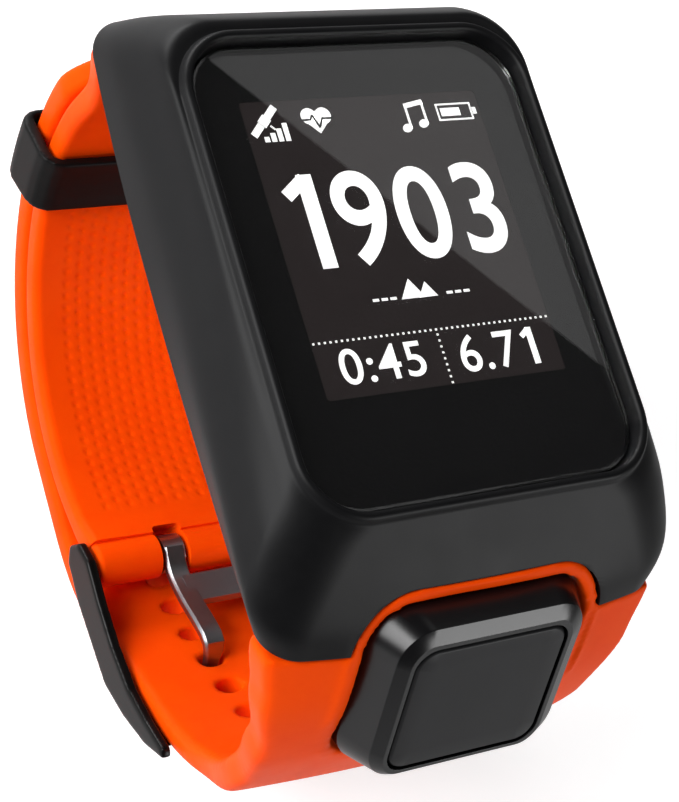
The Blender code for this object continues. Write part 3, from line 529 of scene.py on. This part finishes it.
LEDGE, UNDERSIDE = -1.3, -2.3
pocket = [around_glass(-1.7, LEDGE), around_glass(0.25, LEDGE), around_glass(0.25, 0.95),
          around_glass(0.30, 1.20), around_glass(0.45, 1.36), around_glass(0.62, 1.40)]
bead = [around_glass(0.85, 1.33), around_glass(1.02, 1.14), around_glass(1.12, 0.86)]
skirt = smooth_rows([
    around_glass(1.22, 0.66),
    case_level(16.75, -23.9, 19.3, 4.9, 0.45, 0.0, -0.35, 0.1, 0.1, 0.02),
    case_level(17.3, -26.3, 21.0, 4.6, -1.7, -2.2, -2.2, 0.4, 0.4, 0.085),
    case_level(18.0, -29.1, 22.6, 4.0, -4.6, -5.4, -4.5, 0.8, 0.8, 0.10),
    case_level(18.2, -31.1, 23.7, 3.0, -7.2, -9.0, -6.3, 1.6, 1.1, 0.015)], 7)
inside = [
    case_level(17.9, -30.85, 23.45, 2.8, -7.45, -9.2, -6.6, 1.6, 1.1, 0.015),
    case_level(16.5, -29.6, 22.0, 2.2, -7.4, -9.2, -7.3, 1.5, 0.9),
    case_level(16.2, -27.1, 21.0, 2.2, -4.8, -5.4, -5.3, 0.9, 0.6),
    case_level(14.9, -23.4, 18.3, 4.0, UNDERSIDE, UNDERSIDE, UNDERSIDE),
    around_glass(-1.7, UNDERSIDE)]
case = skin("case", pocket + bead + skirt + inside, closed=True)
print("case levels:", len(pocket + bead + skirt + inside))

# %% [markdown]
# ## The arch for the button
# The button block leans forward in an arched opening of the case. Its plane is given by the front
# face of the button's pad in the frame, so the opening is drawn flat and turned into that plane.

# %% The button's plane, and flat plates that are turned into it
BUTTON_PLACE = Vector((0.0, -34.56, -9.28))
BUTTON_TILT = radians(57.1)
IN_BUTTON = Matrix.Translation(at(*BUTTON_PLACE)) @ Matrix.Rotation(BUTTON_TILT, 4, 'X')


def plate(half_width, bottom, top, radius, low, high, corner_steps=10):
    """A rounded plate made by operators: a plane, its corners bevelled, then extruded."""
    if bpy.context.object and bpy.context.object.mode != 'OBJECT':
        bpy.ops.object.mode_set(mode='OBJECT')
    bpy.ops.object.select_all(action='DESELECT')
    bpy.ops.mesh.primitive_plane_add(size=2.0, location=(0.0, 0.5 * (bottom + top) * MM, low * MM))
    piece = bpy.context.object
    piece.scale = (half_width * MM, 0.5 * (top - bottom) * MM, 1.0)
    bpy.ops.object.transform_apply(location=True, rotation=True, scale=True)
    edit(piece, (bpy.ops.mesh.bevel, {"affect": 'VERTICES', "offset": radius * MM,
                                      "segments": corner_steps}),
         (bpy.ops.mesh.extrude_region_move,
          {"TRANSFORM_OT_translate": {"value": (0.0, 0.0, (high - low) * MM)}}),
         (bpy.ops.mesh.select_all, {"action": 'SELECT'}),
         (bpy.ops.mesh.normals_make_consistent, {"inside": False}))
    return piece


def place(piece, matrix):
    """Moves a piece drawn about the world's origin to where it belongs."""
    only(piece)
    piece.matrix_world = matrix
    bpy.ops.object.transform_apply(location=True, rotation=True, scale=True)
    return piece


def combine(piece, tool, operation):
    """Cuts or joins a tool shape and removes the tool."""
    modify(piece, 'BOOLEAN', operation=operation, solver='EXACT', object=tool)
    bpy.data.objects.remove(tool)


arch = place(plate(11.6, -14.0, 9.3, 5.2, -9.0, 6.0, 20), IN_BUTTON)
combine(case, arch, 'DIFFERENCE')
modify(case, 'BEVEL', width=0.12 * MM, segments=2, limit_method='ANGLE',
       angle_limit=radians(42.0), use_clamp_overlap=True)
hand_over(case, "case_moulding", "watch", "black_frame", "case_frame", angle=40.0)

# %% [markdown]
# ## The button block
# The block is a glossy frame with flared walls, a chamfer around its front and a pad in a pocket;
# the real chamfer is satin, but here it keeps the frame's glossy finish. It is drawn lying flat: a
# rounded plate grows by extruding its front face and fitting that face to the next outline, as the real
# block's form steps in towards its front.

# %% A block that steps from outline to outline


def grow(piece, half_width, bottom, top, out, inset):
    """Extrudes the front face to a height and fits it to an outline, after an inset."""
    top_now = max(vertex.co.z for vertex in piece.data.vertices)
    choose(piece, lambda centre, normal: normal.z > 0.999 and centre.z > top_now - 0.01 * MM)
    bpy.ops.mesh.inset(thickness=inset * MM, depth=0.0)
    bpy.ops.transform.translate(value=(0.0, 0.0, out * MM - top_now))
    bpy.ops.object.mode_set(mode='OBJECT')
    ring = [vertex.co for vertex in piece.data.vertices if vertex.select]
    low = Vector((min(co.x for co in ring), min(co.y for co in ring)))
    high = Vector((max(co.x for co in ring), max(co.y for co in ring)))
    bpy.ops.object.mode_set(mode='EDIT')
    bpy.ops.transform.resize(value=(2.0 * half_width * MM / (high.x - low.x),
                                    (top - bottom) * MM / (high.y - low.y), 1.0),
                             center_override=(0.0, 0.5 * (low.y + high.y), out * MM))
    bpy.ops.transform.translate(value=(0.0, 0.5 * ((bottom + top) * MM - low.y - high.y), 0.0))
    bpy.ops.object.mode_set(mode='OBJECT')


block = plate(10.0, -8.4, 7.85, 3.9, -6.3, -3.0, 12)
grow(block, 8.6, -7.75, 7.35, -0.28, 0.8)
grow(block, 7.5, -7.3, 6.05, 0.2, 1.1)
POCKET_GAP = 0.16
pocket_tool = plate(6.95 + POCKET_GAP, -6.8 - POCKET_GAP, 5.45 + POCKET_GAP, 1.85, -3.4, 3.0, 10)
combine(block, pocket_tool, 'DIFFERENCE')
modify(block, 'BEVEL', width=0.05 * MM, segments=2, limit_method='ANGLE',
       angle_limit=radians(16.0), use_clamp_overlap=True)
place(block, IN_BUTTON)
hand_over(block, "button_block", "watch", "black_gloss", "button_frame", angle=60.0)

# %% The pad: a plate with a soft edge and a slight crown
pad = plate(6.95, -6.8, 5.45, 1.7, -1.55, -0.05, 10)
grow(pad, 6.72, -6.57, 5.22, 0.20, 0.2)
grow(pad, 5.2, -5.0, 3.7, 0.33, 1.2)
modify(pad, 'BEVEL', width=0.10 * MM, segments=2, limit_method='ANGLE',
       angle_limit=radians(25.0), use_clamp_overlap=True)
place(pad, IN_BUTTON)
hand_over(pad, "button_pad_moulding", "button_pad", "pad_grey", "button_pad")

# %% [markdown]
# ## Under the glass
# A black print frames the display from behind the glass. The display's faint glow is painted light, and
# what it shows is drawn with thin shapes whose white glow is painted light too: numbers, small pictures
# and dotted rules.

# %% Glass and its black print
rounded_copy("front_glass", 0.05)
print_plate = plate(14.85, GLASS_BOTTOM + 0.15, GLASS_TOP - 0.15, 4.2, -0.72, -0.66, 12)
combine(print_plate, plate(11.0, -12.5, 12.4, 0.3, -2.0, 2.0, 3), 'DIFFERENCE')
place(print_plate, Matrix.Translation(DISPLAY))
FINISHES["black_print"] = finish("black_print", (0.0035, 0.0035, 0.004), (0.005, 0.005, 0.0055),
                                 0.5, Specular_IOR_Level=0.2)
hand_over(print_plate, "glass_print", "watch", "black_gloss")
print_plate.data.materials[0] = FINISHES["black_print"]

# The panel's faint emission is painted light: it stands in for the dim light that reaches the panel
# through the glass.
panel_painted_glow = finish("display_black", (0.006, 0.005, 0.005), (0.009, 0.007, 0.007), 0.5,
                    Emission_Color=(0.0150, 0.0112, 0.0112, 1.0), Emission_Strength=1.0,
                    Specular_IOR_Level=0.2)
nodes["display_panel"].data.materials[0] = panel_painted_glow

# %% The shapes on the display
LIT_LOW, LIT_HIGH = -0.79, -0.75


def chip(x, y, width, height, turn=0.0, sides=4):
    """A thin lit shape centred at a place on the display: a bar, or a disc or triangle."""
    bpy.ops.object.select_all(action='DESELECT')
    middle = at(x, y, 0.5 * (LIT_LOW + LIT_HIGH))
    depth = (LIT_HIGH - LIT_LOW) * MM
    if sides == 4:
        bpy.ops.mesh.primitive_cube_add(size=1.0, location=middle)
    else:
        bpy.ops.mesh.primitive_cylinder_add(vertices=sides, radius=0.5, depth=1.0,
                                            location=middle)
    shape = bpy.context.object
    shape.scale = (width * MM, height * MM, depth)
    shape.rotation_euler.z = radians(turn)
    bpy.ops.object.transform_apply(location=True, rotation=True, scale=True)
    return shape


def numerals(text, left, bottom, right, top, weight):
    """Numbers fitted to a box on the display."""
    bpy.ops.object.select_all(action='DESELECT')
    bpy.ops.object.text_add()
    written = bpy.context.object
    written.data.body = text
    written.data.offset = weight
    written.data.extrude = 0.5
    written.data.space_character = 1.08
    bpy.ops.object.convert(target='MESH')
    written = bpy.context.object
    xs = [vertex.co.x for vertex in written.data.vertices]
    ys = [vertex.co.y for vertex in written.data.vertices]
    wide, tall = (right - left) * MM / (max(xs) - min(xs)), (top - bottom) * MM / (max(ys) - min(ys))
    thin = (LIT_HIGH - LIT_LOW) * MM
    written.scale = (wide, tall, thin)
    written.location = at(left, bottom, 0.5 * (LIT_LOW + LIT_HIGH)) - Vector(
        (min(xs) * wide, min(ys) * tall, 0.0))
    bpy.ops.object.transform_apply(location=True, rotation=True, scale=True)
    return written


def figure_one(right, bottom, top, weight):
    """The figure 1: an upright stroke and a slanting flag."""
    flag = 1.75 * weight
    return [chip(right - 0.5 * weight, 0.5 * (bottom + top), weight, top - bottom),
            chip(right - 1.25 * weight, top - 0.78 * weight, flag, 0.82 * weight, 36.0)]


lit = [numerals("903", -5.40, -2.05, 9.95, 6.05, 0.012)] + figure_one(-6.55, -1.95, 6.0, 1.35)
lit += [numerals("0:45", -9.05, -11.45, -1.55, -8.55, 0.005),
        numerals("6.7", 1.75, -11.7, 7.1, -8.6, 0.005)]
lit += figure_one(8.95, -11.7, -8.6, 0.55)
DOT = 0.17
lit += [chip(-10.7 + 0.5 * number, -7.88, DOT, DOT) for number in range(44)]
lit += [chip(0.3, -8.3 - 0.5 * number, DOT, DOT) for number in range(9)]
# two peaks and a rule stand for the name of the big number
lit += [chip(-0.8, -4.55, 2.5, 2.2, 0.0, 3), chip(0.6, -4.68, 2.0, 1.7, 0.0, 3)]
lit += [chip(side * offset, -4.95, 0.55, 0.22) for side in (-1, 1) for offset in (2.6, 3.4, 4.2)]
# signal: a small satellite and four bars
lit += [chip(-9.15, 10.75, 0.85, 0.85, 45.0), chip(-9.95, 9.98, 1.25, 0.62, 45.0),
        chip(-8.40, 11.48, 1.25, 0.62, 45.0), chip(-8.55, 10.15, 0.5, 0.14, -45.0)]
lit += [chip(-9.35 + 0.62 * number, 8.95 + 0.5 * height, 0.42, height)
        for number, height in enumerate((0.45, 0.75, 1.1, 1.55))]
# heart, with a gap where the pulse runs
lit += [chip(-5.10, 10.95, 1.42, 1.42, 0.0, 24), chip(-3.80, 10.95, 1.42, 1.42, 0.0, 24),
        chip(-4.45, 10.42, 1.40, 1.40, 45.0)]
# music: two notes and a beam
lit += [chip(3.62, 9.40, 0.95, 0.72, 20.0, 20), chip(5.27, 9.72, 0.95, 0.72, 20.0, 20),
        chip(3.98, 10.40, 0.20, 2.1), chip(5.62, 10.70, 0.20, 2.1),
        chip(4.80, 11.52, 1.84, 0.42, 10.0)]
# battery: outline, charge and pole
lit += [chip(8.55, 11.32, 3.30, 0.14), chip(8.55, 9.92, 3.30, 0.14), chip(6.92, 10.62, 0.14, 1.5),
        chip(10.18, 10.62, 0.14, 1.5), chip(8.15, 10.62, 1.85, 0.72), chip(10.50, 10.62, 0.34, 0.6)]
bpy.ops.object.select_all(action='DESELECT')
for shape in lit:
    shape.select_set(True)
bpy.context.view_layer.objects.active = lit[0]
bpy.ops.object.join()
graphics = bpy.context.object
# The shapes' white is painted light: their emission stands in for the light they would show through the
# glass.
FINISHES["white_painted_glow"] = finish("white_painted_glow", (0.8, 0.8, 0.8), (0.75, 0.75, 0.75), 0.6,
                               Emission_Color=(0.92, 0.92, 0.90, 1.0), Emission_Strength=0.95)
hand_over(graphics, "display_graphics", "watch", "black_gloss", angle=20.0)
graphics.data.materials.clear()
graphics.data.materials.append(FINISHES["white_painted_glow"])
pulse = [chip(x, y, length, 0.16, turn) for x, y, length, turn in (
    (-5.55, 10.62, 0.9, 0.0), (-4.95, 10.80, 0.55, 60.0), (-4.60, 10.45, 1.2, -70.0),
    (-4.15, 10.40, 0.9, 62.0), (-3.45, 10.68, 1.0, 0.0))]
bpy.ops.object.select_all(action='DESELECT')
for line in pulse:
    line.select_set(True)
bpy.context.view_layer.objects.active = pulse[0]
bpy.ops.object.join()
pulse = bpy.context.object
pulse.location.z = 0.045 * MM
hand_over(pulse, "display_pulse", "watch", "black_gloss", angle=20.0)
pulse.data.materials[0] = FINISHES["black_print"]

# %% [markdown]
# ## The strap: two silicone bands around one loop
# Each half is a band whose section changes along a curve: wide and thick at the case, then even
# all the way round. A section is swept along the curve of its outer side. The 12 o'clock half
# lies inside and its wrist side is dimpled; each dimple is real, so the sections there are fine.

# %% Paths in the side view, as (y, z) points in millimetres
LOOP_Y, LOOP_Z = 1.9, -26.9
UPPER_OUTER, LOWER_OUTER = 25.1, 28.0
KNUCKLE_ANGLE, KNUCKLE_LOOP_RADIUS = radians(-120.4), 24.2
KNUCKLE = Vector((0.0, LOOP_Y + KNUCKLE_LOOP_RADIUS * cos(KNUCKLE_ANGLE),
                  LOOP_Z + KNUCKLE_LOOP_RADIUS * sin(KNUCKLE_ANGLE)))
PRONG_X = 4.2
FLOOR_LEVEL = -54.9


def loop_point(radius, degrees):
    """A point of the wrist loop's circles."""
    return Vector((LOOP_Y + radius * cos(radians(degrees)),
                   LOOP_Z + radius * sin(radians(degrees))))


def through(points, step):
    """A smooth curve through points, sampled about every step."""
    points = [Vector(point) for point in points]
    padded = [points[0]] + points + [points[-1]]
    path = []
    for four in zip(padded, padded[1:], padded[2:], padded[3:]):
        count = max(1, round((four[2] - four[1]).length / step))
        path += [curve_between(*four, index / count) for index in range(count)]
    return path + [points[-1]]


def lengths_along(path):
    """Distance travelled at each point of a path."""
    travelled = [0.0]
    for start, end in zip(path, path[1:]):
        travelled.append(travelled[-1] + (end - start).length)
    return travelled


def blend_stops(stops, value):
    """Reads (position, value) stops with smooth steps between them."""
    if value <= stops[0][0]:
        return stops[0][1]
    for (start, low), (end, high) in zip(stops, stops[1:]):
        if value <= end:
            part = (value - start) / (end - start)
            return low + (high - low) * part * part * (3.0 - 2.0 * part)
    return stops[-1][1]


def outward_at(path, index):
    """Unit vector to the right of the path: away from the wrist."""
    ahead = path[min(index + 1, len(path) - 1)] - path[max(index - 1, 0)]
    return Vector((ahead.y, -ahead.x)).normalized()


# %% The section of a strap
EDGE_RADIUS = 0.75


def section(half_width, thickness, crown, outer_columns, wrist_columns):
    """A strap's section as (x, depth) points; depth runs from the outer side to the wrist."""
    flat = half_width - EDGE_RADIUS

    def sag(x):
        return crown * (x / half_width) ** 2

    outer = [Vector((flat * (2.0 * n / outer_columns - 1.0), 0.0)) for n in range(outer_columns + 1)]
    outer = [Vector((p.x, sag(p.x))) for p in outer]
    wrist = [flat * (1.0 - 2.0 * n / wrist_columns) for n in range(wrist_columns + 1)]
    wrist = [Vector((x, thickness + sag(x))) for x in wrist]
    corner = []
    for step in (1, 2, 3, 4):
        angle = radians(90.0 * step / 4.0)
        corner.append(Vector((flat + EDGE_RADIUS * sin(angle),
                              sag(flat) + EDGE_RADIUS * (1.0 - cos(angle)))))
    far = [Vector((p.x, thickness + 2.0 * sag(flat) - p.y)) for p in reversed(corner)]
    right = corner + far
    left = [Vector((-p.x, p.y)) for p in reversed(right)]
    return outer + right + wrist + left


def sweep(name, path, half_widths, thicknesses, crowns, outer_columns, wrist_columns, press=None):
    """Sweeps the section along a path; press(station, x) gives the depth of a dimple."""
    rows = []
    for station, (point, along) in enumerate(zip(path, lengths_along(path))):
        outward = outward_at(path, station)
        thickness = blend_stops(thicknesses, along)
        row = []
        for x, depth in section(blend_stops(half_widths, along), thickness,
                                blend_stops(crowns, along), outer_columns, wrist_columns):
            if press and depth > thickness - 0.01:
                depth -= press(station, x)
            row.append(Vector((x, point.x - outward.x * depth, point.y - outward.y * depth)))
        rows.append(row)
    return skin(name, rows)


# %% The 12 o'clock half and its dimples
UPPER_COLUMNS = 108
DIMPLE_PITCH = 6 * 2.0 * (12.0 - EDGE_RADIUS) / UPPER_COLUMNS
DIMPLE_STATIONS = 5
DIMPLE_RADIUS, DIMPLE_DEPTH = 0.34, 0.17
UPPER_STEP = 0.263
upper_turn = [loop_point(UPPER_OUTER, angle) for angle in range(10, -119, -12)]
upper_turn.append(loop_point(UPPER_OUTER, -117.4))
upper_route = [(20.3, -5.2), (21.9, -8.4), (24.6, -11.6), (26.4, -16.0)] + upper_turn
upper_path = through(list(reversed(upper_route)), UPPER_STEP)
upper_lengths = lengths_along(upper_path)
case_end = upper_lengths[-1]
FIRST_DIMPLE, LAST_DIMPLE = 4.0, 39.0


def dimple(station, x):
    """How deep the wrist side is pressed in at a place: staggered round dimples."""
    if not FIRST_DIMPLE < upper_lengths[station] < LAST_DIMPLE:
        return 0.0
    column = round(x / DIMPLE_PITCH)
    if abs(column) > 7:
        return 0.0
    shift = 0.5 * DIMPLE_STATIONS * (column % 2)
    row = round((station - shift) / DIMPLE_STATIONS)
    away = Vector((x - column * DIMPLE_PITCH,
                   (station - shift - row * DIMPLE_STATIONS) * UPPER_STEP)).length
    return DIMPLE_DEPTH * max(0.0, 1.0 - (away / DIMPLE_RADIUS) ** 2)


upper = sweep("upper", upper_path,
              ((case_end - 20.0, 12.0), (case_end - 9.0, 14.6), (case_end - 4.0, 15.8),
               (case_end, 14.4)),
              ((0.0, 3.0), (4.0, 2.5), (case_end - 18.0, 2.5), (case_end - 12.0, 2.9),
               (case_end - 5.0, 3.2), (case_end, 2.1)),
              ((0.0, 0.2), (1.0, 0.2)), 22, UPPER_COLUMNS, dimple)


def across(radius, half_length, centre, vertices=48):
    """A round bar along X made by operators."""
    bpy.ops.object.select_all(action='DESELECT')
    bpy.ops.mesh.primitive_cylinder_add(vertices=vertices, radius=radius * MM,
                                        depth=2.0 * half_length * MM, location=at(*centre),
                                        rotation=(0.0, 0.5 * pi, 0.0))
    bar = bpy.context.object
    bpy.ops.object.transform_apply(location=True, rotation=True, scale=True)
    return bar


knuckle = across(2.1, 12.0, KNUCKLE)
modify(knuckle, 'BEVEL', width=0.55 * MM, segments=4, limit_method='ANGLE',
       angle_limit=radians(60.0))
combine(upper, knuckle, 'UNION')
combine(upper, across(1.0, 16.0, KNUCKLE, 32), 'DIFFERENCE')
for side in (-1, 1):
    slot_tool = plate(1.45, KNUCKLE.y - 4.0, KNUCKLE.y + 2.6, 0.5, KNUCKLE.z - 3.5,
                      KNUCKLE.z + 3.5, 5)
    place(slot_tool, Matrix.Translation(at(side * PRONG_X, 0.0, 0.0)))
    combine(upper, slot_tool, 'DIFFERENCE')
hand_over(upper, "strap_12_oclock", "watch", "orange_silicone", "strap_upper", angle=38.0)

# %% [markdown]
# ## The 6 o'clock half
# It starts as an arch around the button, flush with the case, and runs round under the wrist with
# two rows of holes. The arch, the window and the holes are joined and cut as solids. Then one
# remesh turns the whole into an even skin that is relaxed a little, which rounds every edge the
# way a silicone mould does.

# %% The 6 o'clock half


def front_slope(x, up):
    """How far the case's lower front lies behind the button's face, in millimetres."""
    return -(1.3 + 0.27 * (up - 4.4) + 0.0045 * x ** 2 + 7.5e-6 * x ** 4)


ARCH_FOOT = 4.4
foot = Matrix.Rotation(BUTTON_TILT, 3, 'X') @ Vector((0.0, ARCH_FOOT - 0.3,
                                                      front_slope(0.0, ARCH_FOOT)))
lower_route = [(BUTTON_PLACE.y + foot.y, BUTTON_PLACE.z + foot.z), (-34.0, -11.2), (-35.9, -17.0),
               (-36.5, -23.0), (-35.8, -29.5), (-33.2, -36.6), (-28.9, -42.0), (-22.0, -47.2),
               (-16.5, -51.3), (-11.4, -54.0), (-5.7, FLOOR_LEVEL)]
lower_route += [loop_point(LOWER_OUTER, angle) for angle in range(-90, 11, 10)]
lower_route.append((29.7, -18.8))
lower_path = [Vector((point.x, max(point.y, FLOOR_LEVEL))) for point in through(lower_route, 0.6)]
lower_lengths = lengths_along(lower_path)
tail_end = lower_lengths[-1]
lower = sweep("lower", lower_path,
              ((0.0, 18.0), (5.0, 17.3), (12.0, 15.8), (20.0, 14.3), (33.0, 12.0),
               (tail_end - 9.0, 12.0), (tail_end, 7.0)),
              ((0.0, 3.5), (12.0, 3.3), (24.0, 2.9), (34.0, 2.4), (48.0, 2.4), (60.0, 2.7),
               (tail_end - 10.0, 2.7), (tail_end, 1.9)),
              ((0.0, 2.1), (14.0, 1.0), (28.0, 0.2), (46.0, 0.0)), 40, 40)
print("6 o'clock half, along its outer side:", round(tail_end, 1), "mm")

# %% The rim round the button, and the window behind it
RIM_PROUD, RIM_BACK = 0.12, -5.4


def rim_front(x, up):
    """Front of the rim: level with the case above its foot, then following the strap."""
    if up > ARCH_FOOT:
        return front_slope(x, up) + RIM_PROUD
    levels = ((-9.6, -4.1), (-7.2, -2.95), (-1.3, -1.4), (ARCH_FOOT, -1.3))
    return (blend_stops(levels, up) + front_slope(x, ARCH_FOOT)
            - front_slope(0.0, ARCH_FOOT) + RIM_PROUD)


rim_line = rounded_outline(11.5, -9.6, 9.2, 5.1, 16, 24)
rim_rows = []
for front in (False, True):
    row = []
    for x, up in rim_line:
        out = rim_front(x, up) if front else RIM_BACK
        turned_point = Matrix.Rotation(BUTTON_TILT, 3, 'X') @ Vector((x, up, out))
        row.append(BUTTON_PLACE + turned_point)
    rim_rows.append(row)
combine(lower, skin("rim", rim_rows), 'UNION')
window = place(plate(10.3, -8.7, 8.15, 4.1, -14.0, 6.0, 16), IN_BUTTON)
combine(lower, window, 'DIFFERENCE')
print("rim points:", len(rim_line))

# %% Two rows of oval holes
HOLE_PITCH, FIRST_HOLE, HOLE_COUNT = 4.0, 38.0, 9
HOLE_HALF_WIDTH, HOLE_HALF_LENGTH = 1.3, 0.95
for number in range(HOLE_COUNT):
    along = FIRST_HOLE + number * HOLE_PITCH
    station = min(range(len(lower_path)), key=lambda index: abs(lower_lengths[index] - along))
    outward = outward_at(lower_path, station)
    point = lower_path[station]
    for side in (-1, 1):
        bpy.ops.object.select_all(action='DESELECT')
        bpy.ops.mesh.primitive_cylinder_add(vertices=28, radius=1.0, depth=8.0 * MM)
        punch = bpy.context.object
        across_strap = Vector((1.0, 0.0, 0.0))
        normal = Vector((0.0, outward.x, outward.y))
        basis = Matrix((across_strap * HOLE_HALF_WIDTH * MM,
                        normal.cross(across_strap) * HOLE_HALF_LENGTH * MM,
                        normal)).transposed().to_4x4()
        place(punch, Matrix.Translation(at(side * PRONG_X, point.x, point.y)) @ basis)
        combine(lower, punch, 'DIFFERENCE')
print("holes:", 2 * HOLE_COUNT)

# %% One even, relaxed skin
SKIN_FACE, SKIN_ROUNDS = 0.33, 4
modify(lower, 'REMESH', mode='VOXEL', voxel_size=SKIN_FACE * MM)
modify(lower, 'SMOOTH', factor=0.5, iterations=SKIN_ROUNDS)
hand_over(lower, "strap_6_oclock", "watch", "orange_silicone", "strap_lower", angle=60.0)

# %% [markdown]
# ## Buckle, tongue and keeper
# The buckle frame is a bent bar with well-rounded edges, the tongue a stamped and bent fork with
# small ones, and the keeper a soft loop. Their solids have the right shape. The tongue and the
# spring bar are copied with a narrow bevel; frame and keeper are softened, since a bevel can't
# grow as wide as their edges are round.

# %% Buckle, tongue, keeper and bar
frame = softened_copy("buckle_frame", 0.16, 16)
frame.data.materials[0] = FINISHES["dark_coating"]
rounded_copy("buckle_tongue", 0.14, 2, 35.0)
keeper = softened_copy("keeper_loop", 0.18, 9)
keeper.data.materials[0] = FINISHES["keeper_black"]
rounded_copy("spring_bar", 0.08, 2)

# %% [markdown]
# ## The back of the module
# From behind one sees the cover with its screws, the charging contacts and the sensor's window.
# The screws get a six-sided recess, cut into their heads with an operator-made key.

# %% Rear cover, sensor window, contacts and screws
rounded_copy("rear_cover", 0.12, 2)
rounded_copy("sensor_window", 0.08, 2)
rounded_copy("module_housing", 0.10, 2)
for number in range(1, 5):
    rounded_copy(f"charging_contact_{number}", 0.06, 2)
    screw = rounded_copy(f"rear_screw_{number}", 0.06, 2)
    low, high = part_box(f"rear_screw_{number}")
    bpy.ops.object.select_all(action='DESELECT')
    bpy.ops.mesh.primitive_cylinder_add(
        vertices=6, radius=0.5 * MM, depth=0.8 * MM,
        location=(0.5 * (low.x + high.x), 0.5 * (low.y + high.y), low.z))
    combine(screw, bpy.context.object, 'DIFFERENCE')
